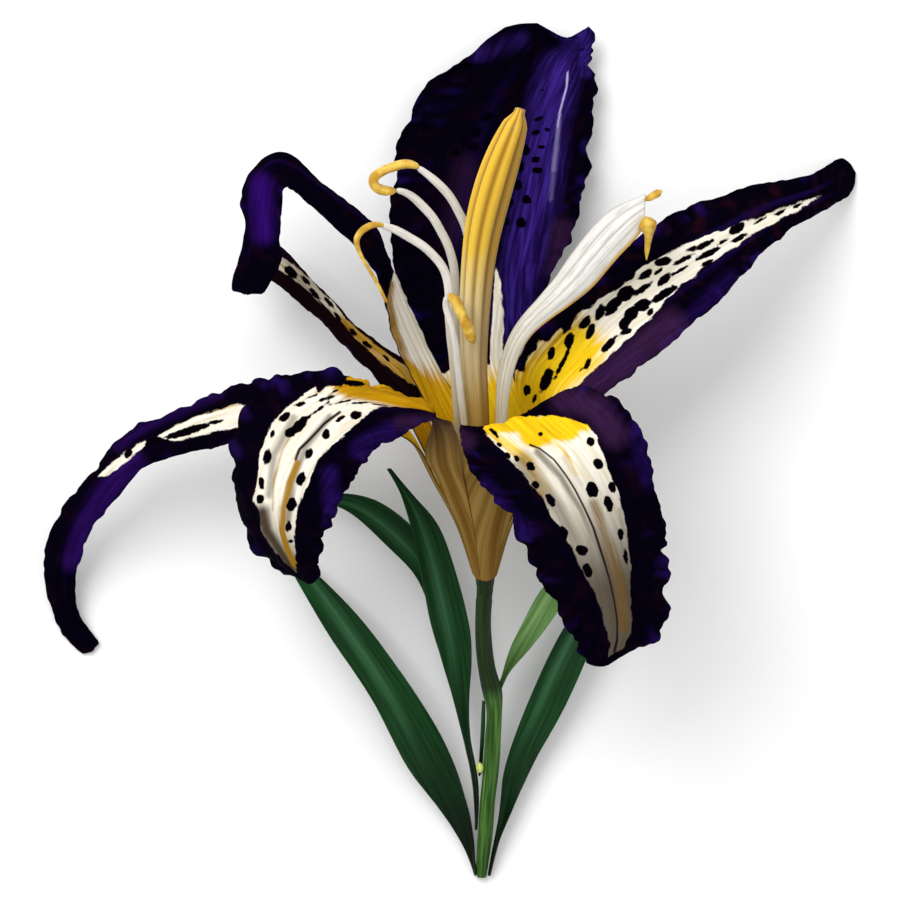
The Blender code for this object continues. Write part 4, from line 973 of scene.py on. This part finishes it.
pistil = {
    "stations": (
        ((7, -20.6, 25.7), 1), ((6.6, -12, 28.8), 1.3), ((6, -2, 32.2), 1.9), ((5.6, 5, 34.6), 2.4),
        ((5.3, 10, 36.2), 2.6), ((4.9, 17, 38.4), 2.75), ((4.9, 24, 40.4), 3), ((5.2, 31, 42.4), 3.25),
        ((5.8, 38, 44.2), 3.5), ((6.9, 45, 45.8), 3.85), ((8.5, 51.5, 47.4), 4), ((10.4, 57.6, 48.8), 3.75),
        ((12.2, 62.6, 50), 3.1), ((13.5, 66.2, 50.8), 2.35), ((14.1, 68.2, 51.2), 1.9),
    ),
    "flutes": 7, "depth": 0.24, "steps": (220, 126), "blunt": 0.55,
    "colours": (
        (0.0, "#7a5a22"), (0.42, "#a88a48"), (0.56, "#cdbd92"), (0.66, "#d2c28c"), (0.76, "#dab436"),
        (1.0, "#dcae20"),
    ),
}


# Column of the pistil: firm, waxy yellow tissue, cream and tan towards its foot. Painted shade darkens the
# bottoms of its flutes and one side of the column, which leaves a soft light along each ridge.
def pistilSkin():
    material, tree, shader = newSkin("pistil", 0.42, subsurface=0.06)
    height, groove, around = (
        addNode(tree, "Attribute", attribute_name=key, out="Fac") for key in ("height", "groove", "around")
    )
    streaks = grainOf(tree, 0.05, 2.4, 3)
    shifted = addNode(tree, "Math", [(0, streaks), (1, 0.16), (2, height)], operation="MULTIPLY_ADD")
    colour = addNode(tree, "ValToRGB", [(0, shifted)])
    ramp = colour.node.color_ramp
    for place, code in pistil["colours"][1:-1]:
        ramp.elements.new(place)
    for element, (place, code) in zip(ramp.elements, pistil["colours"]):
        element.position = place
        element.color = hexColour(code)
    # painted shade: one side of the column darker brown, and the flute bottoms darker
    toRight = addNode(tree, "MapRange", [(0, around), (1, -0.2), (2, 1), (4, 0.9)])
    for share, over in ((groove, "#7a4e0c"), (toRight, "#7c5814")):
        colour = addNode(tree, "Mix", [(0, share), (6, colour), (7, over)], **rgba)
    coverSkin(tree, shader, colour, streaks, 0.3, 0.0003)
    return material


def fluted(s, a, length):
    # 1 less grooves as the cube of |cos| round the column, fading in above its foot and half out at its top
    share = ease(0.18 * length, 0.5 * length, s) * (1 - 0.5 * ease(0.9 * length, length, s))
    return 1 - pistil["depth"] * share * np.abs(np.cos(a * pistil["flutes"] / 2))**3


piece = roundPiece("pistil_column", pistil["stations"], pistil["steps"], fluted, pistil["blunt"])
along, sides = pistil["steps"]
angle = np.linspace(0, fullTurn, sides, endpoint=False)
share, angle = np.meshgrid(np.linspace(0, 1, along + 1), angle, indexing="ij")
# painted shade in the bottoms of the flutes
shade = 0.85 * np.abs(np.cos(angle * pistil["flutes"] / 2))**7
addField(piece.data, "groove", shade * (0.2 + 0.8 * ease(0.4, 0.62, share)))
finishPiece(piece, "pistil", pistilSkin())

filaments = {
    "filament_upper": (
        ((5.9, -15, 25.2), 0.55), ((5, -5, 28.4), 0.65), ((4.6, 8, 31), 0.7), ((4.2, 22, 34), 0.75),
        ((4.4, 34, 37), 0.8), ((3.4, 43.6, 40.6), 0.8), ((1, 49, 43.4), 0.8), ((-0.9, 51.8, 44.8), 0.8),
        ((-3.2, 54, 46), 0.75), ((-5.4, 55.8, 46.6), 0.6), ((-6.6, 56.6, 47), 0.55),
    ),
    "filament_middle": (
        ((4.2, -13, 27.8), 0.55), ((3, -4, 29.8), 0.65), ((2.6, 8, 32.2), 0.7), ((1.9, 20, 35.4), 0.75),
        ((1.1, 30, 37.6), 0.8), ((0.5, 38, 39.4), 0.8), ((-1.4, 43, 41.6), 0.8), ((-3.7, 46.8, 43.2), 0.8),
        ((-6.3, 49.6, 44.6), 0.8), ((-9.5, 51.7, 46.4), 0.6), ((-10.9, 52, 47), 0.5),
    ),
    "filament_lower": (
        ((3.8, -11, 30.4), 0.55), ((2.2, -2, 32.2), 0.65), ((1.2, 10, 35.6), 0.7), ((0.4, 20, 39.6), 0.75),
        ((-0.2, 28, 42.2), 0.8), ((-0.8, 35, 43.4), 0.8), ((-4, 39.6, 44.8), 0.8), ((-8.4, 42.7, 46), 0.8),
        ((-12.4, 44.6, 46.8), 0.65), ((-13.9, 45, 47.5), 0.5),
    ),
    "filament_front": (
        ((5.2, -9, 31.9), 0.5), ((3.6, 0, 36.4), 0.6), ((2.4, 9, 39.8), 0.65), ((1.4, 18, 43.4), 0.65),
        ((0.2, 25.4, 46.6), 0.65), ((-0.8, 29.4, 47.4), 0.6), ((-0.6, 30.8, 48.2), 0.5),
    ),
}


# Filament: a slender stalk of smooth white tissue, a little see-through, which softens its shading. It is tan
# below, with faint grey streaks.
def filamentSkin(name, low, high, covers=()):
    material, tree, shader = newSkin(name, 0.4, subsurface=0.08)
    height = addNode(tree, "Attribute", attribute_name="height", out="Fac")
    streaks = grainOf(tree, 0.08, 2.6, 3)
    way = addNode(tree, "Math", [(0, streaks), (1, 0.4), (2, height)], operation="MULTIPLY_ADD")
    share = addNode(tree, "MapRange", [(0, way), (1, 0.3), (2, 0.95)], **soft)
    dim = addNode(tree, "MapRange", [(0, streaks), (1, 0.5), (2, 0.75), (4, 0.55)])
    coats = [(share, high), (dim, "#8d897c")]
    for key, code in covers:
        coats.append((addNode(tree, "Attribute", attribute_name=key, out="Fac"), code))
    colour = low
    for share, over in coats:
        colour = addNode(tree, "Mix", [(0, share), (6, colour), (7, over)], **rgba)
    coverSkin(tree, shader, colour, streaks, 0.25, 0.0002)
    return material


def ovalish(s, a, length):
    # 1 + a little of the second and third wave round the stalk
    return 1 + 0.1 * np.cos(2 * a) + 0.03 * np.cos(3 * a + s)


filamentSteps = (160, 28)  # along and around
filamentMaterial = filamentSkin("filament", "#a8966a", "#d2cfc8")
for node, stations in filaments.items():
    finishPiece(roundPiece(node, stations, filamentSteps, ovalish), node, filamentMaterial)

sheet = {
    "ribs": (
        ((7.6, -13, 30.4), (8.2, -13.2, 31), (8.9, -13, 31.6)),
        ((9, -3, 34), (9.9, -3.2, 34.8), (10.8, -3, 35.2)),
        ((9.2, 8, 37), (10.4, 7.8, 38), (11.5, 7.6, 38.2)),
        ((9.8, 15.6, 38.4), (11.2, 15.4, 39.6), (12.6, 15.2, 39.8)),
        ((13, 24.6, 39.6), (14.6, 23.6, 41.2), (16, 22.6, 41.2)),
        ((18, 30.6, 40.4), (20, 29, 42.4), (21.6, 27.4, 42.2)),
        ((23.6, 38, 40.8), (26, 35.2, 43.4), (28.2, 32.4, 43)),
        ((29.4, 45.4, 41.2), (31.6, 41.8, 44), (33.4, 38.4, 43.8)),
        ((35.4, 49.6, 41.8), (36.6, 46.6, 44), (37.6, 43, 44)),
        ((39.2, 51, 42.7), (39, 48.4, 43.6), (38.9, 45, 43.8)),
    ),
    "filaments": 4, "steps": (160, 48), "thickness": (0.55, 0.35),
}


def buildFusedFilaments():
    # four filaments grown together: rounded ridges side by side, |sin|^0.6 with half a turn for each filament
    along, across = sheet["steps"]
    surface, s, t, halfWidth, normal, knots = bladeSurface(sheet["ribs"], along, across, True)
    ridges = np.abs(np.sin((t + 1) * math.pi * sheet["filaments"] / 2))**0.6
    lift = 0.06 * halfWidth * ridges * (1 - 0.6 * ease(0, 0.4, t)) + 0.1 * roughField(s / 4, t * 3 + 9, 501)
    surface = surface + normal * lift[..., None]
    height = s / knots[-1]
    gold = ease(0.74, 0.92, t) * ease(0.4, 0.55, height) * 0.9
    # painted shade: grey in the grooves between the ridges and towards the edge with the gold line
    groove = (1 - ridges)**1.5 * (1 - 0.5 * ease(0, 0.5, t)) + 0.35 * ease(-0.2, 0.9, t)
    fields = {"height": (height, height), "gold": (gold, gold), "groove": (groove, groove)}
    piece = closedSheet("fused_filaments", surface, s, t, halfWidth, sheet["thickness"], fields, True)
    skin = filamentSkin("fused filament", "#b9ab86", "#dcdad4", (("groove", "#96938c"), ("gold", "#c79a34")))
    finishPiece(piece, "filament_right_sheet", skin)


buildFusedFilaments()


# Anther: two pollen sacs side by side, matte and dusty with yellow grains drawn larger than they are.
# Its underside is darkened with painted shade.
def antherSkin():
    material, tree, shader = newSkin("anther", 0.7, sheen=0.2)
    place = addNode(tree, "TexCoord", out="Object")
    around = addNode(tree, "Attribute", attribute_name="around", out="Fac")
    grains = addNode(tree, "TexVoronoi", [("Vector", place), ("Scale", 2600)], out="Distance")
    cloud = addNode(tree, "TexNoise", [("Vector", place), ("Scale", 420), ("Detail", 4)])
    dusty = addNode(tree, "MapRange", [(0, cloud), (1, 0.35), (2, 0.68)], **soft)
    # painted shade: darker brown on the underside of the sacs
    below = addNode(tree, "MapRange", [(0, around), (1, -0.2), (2, -1), (4, 0.5)])
    colour = "#b98a1c"
    for share, over in ((dusty, "#e3c052"), (below, "#8a5a0c")):
        colour = addNode(tree, "Mix", [(0, share), (6, colour), (7, over)], **rgba)
    coverSkin(tree, shader, colour, grains, 0.5, 0.0002)
    return material


anthers = {
    "anther_curled": (
        ((-6, 56.4, 46.8), 0.6), ((-8.2, 57.2, 47.6), 1), ((-11.2, 56.7, 48.2), 1.1),
        ((-13.8, 55.6, 48.6), 1.1), ((-15.3, 54.1, 48.6), 1.15), ((-14.9, 52.7, 48.2), 1.15),
        ((-13, 51.9, 47.6), 1.15), ((-10.6, 51.9, 47.1), 0.6),
    ),
    "anther_hanging": (
        ((-13.1, 44.9, 47.2), 0.5), ((-15.4, 45, 48.3), 0.75), ((-17.4, 44, 48.6), 0.8),
        ((-18.6, 42.3, 48.6), 0.7), ((-18.2, 39.8, 48), 0.5), ((-16.6, 36.8, 47), 0.42),
        ((-14.6, 33.4, 45.6), 0.42), ((-12.6, 29.4, 43.6), 0.35),
    ),
    "anther_front": (
        ((-0.5, 31.2, 48.6), 0.7), ((0.8, 30.2, 49), 1.25), ((2, 28, 48.8), 1.3), ((3.3, 25, 47.8), 1.35),
        ((4.3, 22.4, 46.6), 1.15), ((4.8, 21.2, 46), 0.6),
    ),
    "anther_right_knob": (
        ((39, 49.9, 43.4), 0.55), ((40.4, 50.7, 43.8), 0.85), ((41.8, 51.5, 44), 0.85),
        ((42.5, 51.9, 44), 0.5),
    ),
    "anther_right_drooping": (
        ((38.9, 46.8, 44.2), 0.6), ((39.3, 45.7, 44.6), 2.2), ((39.7, 43.8, 44.4), 1.5),
        ((39.5, 41, 43.4), 0.7), ((39.3, 38, 42.2), 0.4),
    ),
}
antherSteps = (90, 36)  # along and around


def pollenSacs(seed):
    # 1 less a groove on either side as the sixth power of |cos|, times a fine unevenness of a twentieth
    def profile(s, a, length):
        return (1 - 0.16 * np.abs(np.cos(a))**6) * (1 + 0.05 * roughField(s * 1.6, a * 2, seed))

    return profile


antherMaterial = antherSkin()
for number, (node, stations) in enumerate(anthers.items()):
    piece = roundPiece(node, stations, antherSteps, pollenSacs(600 + number))
    finishPiece(piece, node, antherMaterial)
print("stamens and pistil made")


# Flower stalk: smooth green skin under a thin bloom of wax, which keeps its shine soft. It is paler in
# streaks and dark near the flower.
def stalkSkin(name, dark, middle, light, darkFrom):
    material, tree, shader = newSkin(name, 0.38, ior=1.25)
    height = addNode(tree, "Attribute", attribute_name="height", out="Fac")
    streaks = grainOf(tree, 0.05, 1.6, 4)
    cloud = grainOf(tree, 0.05, 0.5, 2)
    lit = addNode(tree, "MapRange", [(0, streaks), (1, 0.38), (2, 0.66), (4, 0.7)], **soft)
    shaded = addNode(tree, "MapRange", [(0, cloud), (1, 0.4), (2, 0.7), (4, 0.6)], **soft)
    upper = addNode(tree, "MapRange", [(0, height), (1, darkFrom), (2, darkFrom + 0.05), (4, 0.85)])
    colour = middle
    for share, over in ((lit, light), (shaded, dark), (upper, dark)):
        colour = addNode(tree, "Mix", [(0, share), (6, colour), (7, over)], **rgba)
    coverSkin(tree, shader, colour, streaks, 0.25, 0.0003)
    return material


def ribbed(s, a, length):
    # 1 + five low ribs round the stalk and an oval that turns slowly along it
    return 1 + 0.02 * np.cos(5 * a) + 0.015 * np.cos(2 * a + s / 14)


# Stations are (place, radius) in mm; steps go along and around; the skin has its dark, middle and light green
# and the share of the length where the dark begins.
stem = {
    "stations": (
        ((6.3, -85.4, 1.3), 1), ((6.5, -82, 2), 1.25), ((6.9, -78, 3), 1.45), ((7.5, -70, 5), 1.5),
        ((8.1, -64.4, 7), 1.6), ((8.6, -57, 9.8), 1.6), ((8.8, -51.6, 12.2), 1.65), ((8.4, -48.2, 14), 2),
        ((7.7, -45.4, 15.4), 1.85), ((6.8, -39.4, 18.2), 1.7), ((6.6, -34, 20.5), 1.6),
        ((6.9, -28.4, 22.72), 1.7),
    ),
    "steps": (260, 56), "blunt": 0.95, "skin": ("flower stalk", "#0f1a05", "#264a12", "#56843a", 0.62),
}
receptacle = {
    "stations": (
        ((6.93, -28.35, 22.74), 1.7), ((6.97, -27, 23.24), 1.75), ((6.99, -25.6, 23.77), 1.9),
        ((7, -24.85, 24.06), 1.8), ((7, -24.3, 24.25), 1.3), ((7, -23, 24.76), 1.15),
        ((7, -21.4, 25.36), 0.8),
    ),
    "steps": (60, 56), "blunt": 0.95, "skin": ("receptacle", "#0f1a05", "#264a12", "#56843a", -1),
}
bud = {
    "stations": (
        ((6.1, -64.6, 8.3), 0.35), ((6, -64, 8.6), 0.65), ((5.9, -63.1, 9), 0.7), ((5.8, -62.4, 9.3), 0.35),
    ),
    "steps": (40, 32), "blunt": 0.25, "skin": ("axillary bud", "#7d9a3c", "#a9bf58", "#d7d98a", 0.9),
}
for node, name, slot, part in (
    ("stem", "flower_stalk", "green_stem", stem), ("receptacle", "receptacle_cup", "green_stem", receptacle),
    ("axillary_bud", "side_bud", "light_shoot", bud),
):
    piece = roundPiece(name, part["stations"], part["steps"], ribbed, part["blunt"])
    finishPiece(piece, node, stalkSkin(*part["skin"]))
print("stalk made")

stage = {
    "floorRadius": 9.0,  # m
    "paper": ("#f0f0f1", "#f5f5f4"),
    "sky": ("#ffffff", 0.7),
    # name, place and size in m, watts
    "lights": (("key", (-0.42, 0.5, 0.95), 0.75, 9.6), ("fill", (0.5, 0.0, 1.0), 1.0, 2.0)),
    "aim": (0.0, 0.0, 0.03),
    "sensor": 36.0,
    "lens": 200.0,  # 180 mm across at the sight level, 1 m below the lens
}


# A floor of matte white paper, soft light from above the flower's top edge, and the camera straight over it.
def buildStage():
    bpy.ops.mesh.primitive_circle_add(vertices=128, radius=stage["floorRadius"], fill_type="NGON")
    floor = bpy.context.object
    floor.name = "floor"
    material, tree, shader = newSkin("matte paper floor", 0.85)
    place = addNode(tree, "TexCoord", out="Object")
    cloud = addNode(tree, "TexNoise", [("Vector", place), ("Scale", 30), ("Detail", 4)])
    colour = addNode(tree, "Mix", [(0, cloud), (6, stage["paper"][0]), (7, stage["paper"][1])], **rgba)
    tree.links.new(colour, shader.inputs["Base Color"])
    floor.data.materials.append(material)

    scene = bpy.context.scene
    if scene.world is None:
        scene.world = bpy.data.worlds.new("studio")
    scene.world.use_nodes = True
    sky = scene.world.node_tree.nodes["Background"]
    sky.inputs[0].default_value = hexColour(stage["sky"][0])
    sky.inputs[1].default_value = stage["sky"][1]
    for name, position, size, power in stage["lights"]:
        light = bpy.data.lights.new(name, "AREA")
        light.size = size
        light.energy = power
        lamp = bpy.data.objects.new(name, light)
        scene.collection.objects.link(lamp)
        lamp.location = position
        away = np.array(position) - np.array(stage["aim"])
        tilt = math.atan2(math.hypot(away[0], away[1]), away[2])
        lamp.rotation_euler = (tilt, 0.0, math.atan2(away[1], away[0]) + math.pi / 2)
    camera = bpy.data.cameras.new("camera")
    camera.sensor_width = stage["sensor"]
    camera.lens = stage["lens"]
    seat = bpy.data.objects.new("camera", camera)
    scene.collection.objects.link(seat)
    seat.location = (-eye["centreX"] / 1000, -eye["centreY"] / 1000, eye["height"] / 1000)
    scene.camera = seat
    scene.view_settings.view_transform = "Standard"


buildStage()
print("stage made")
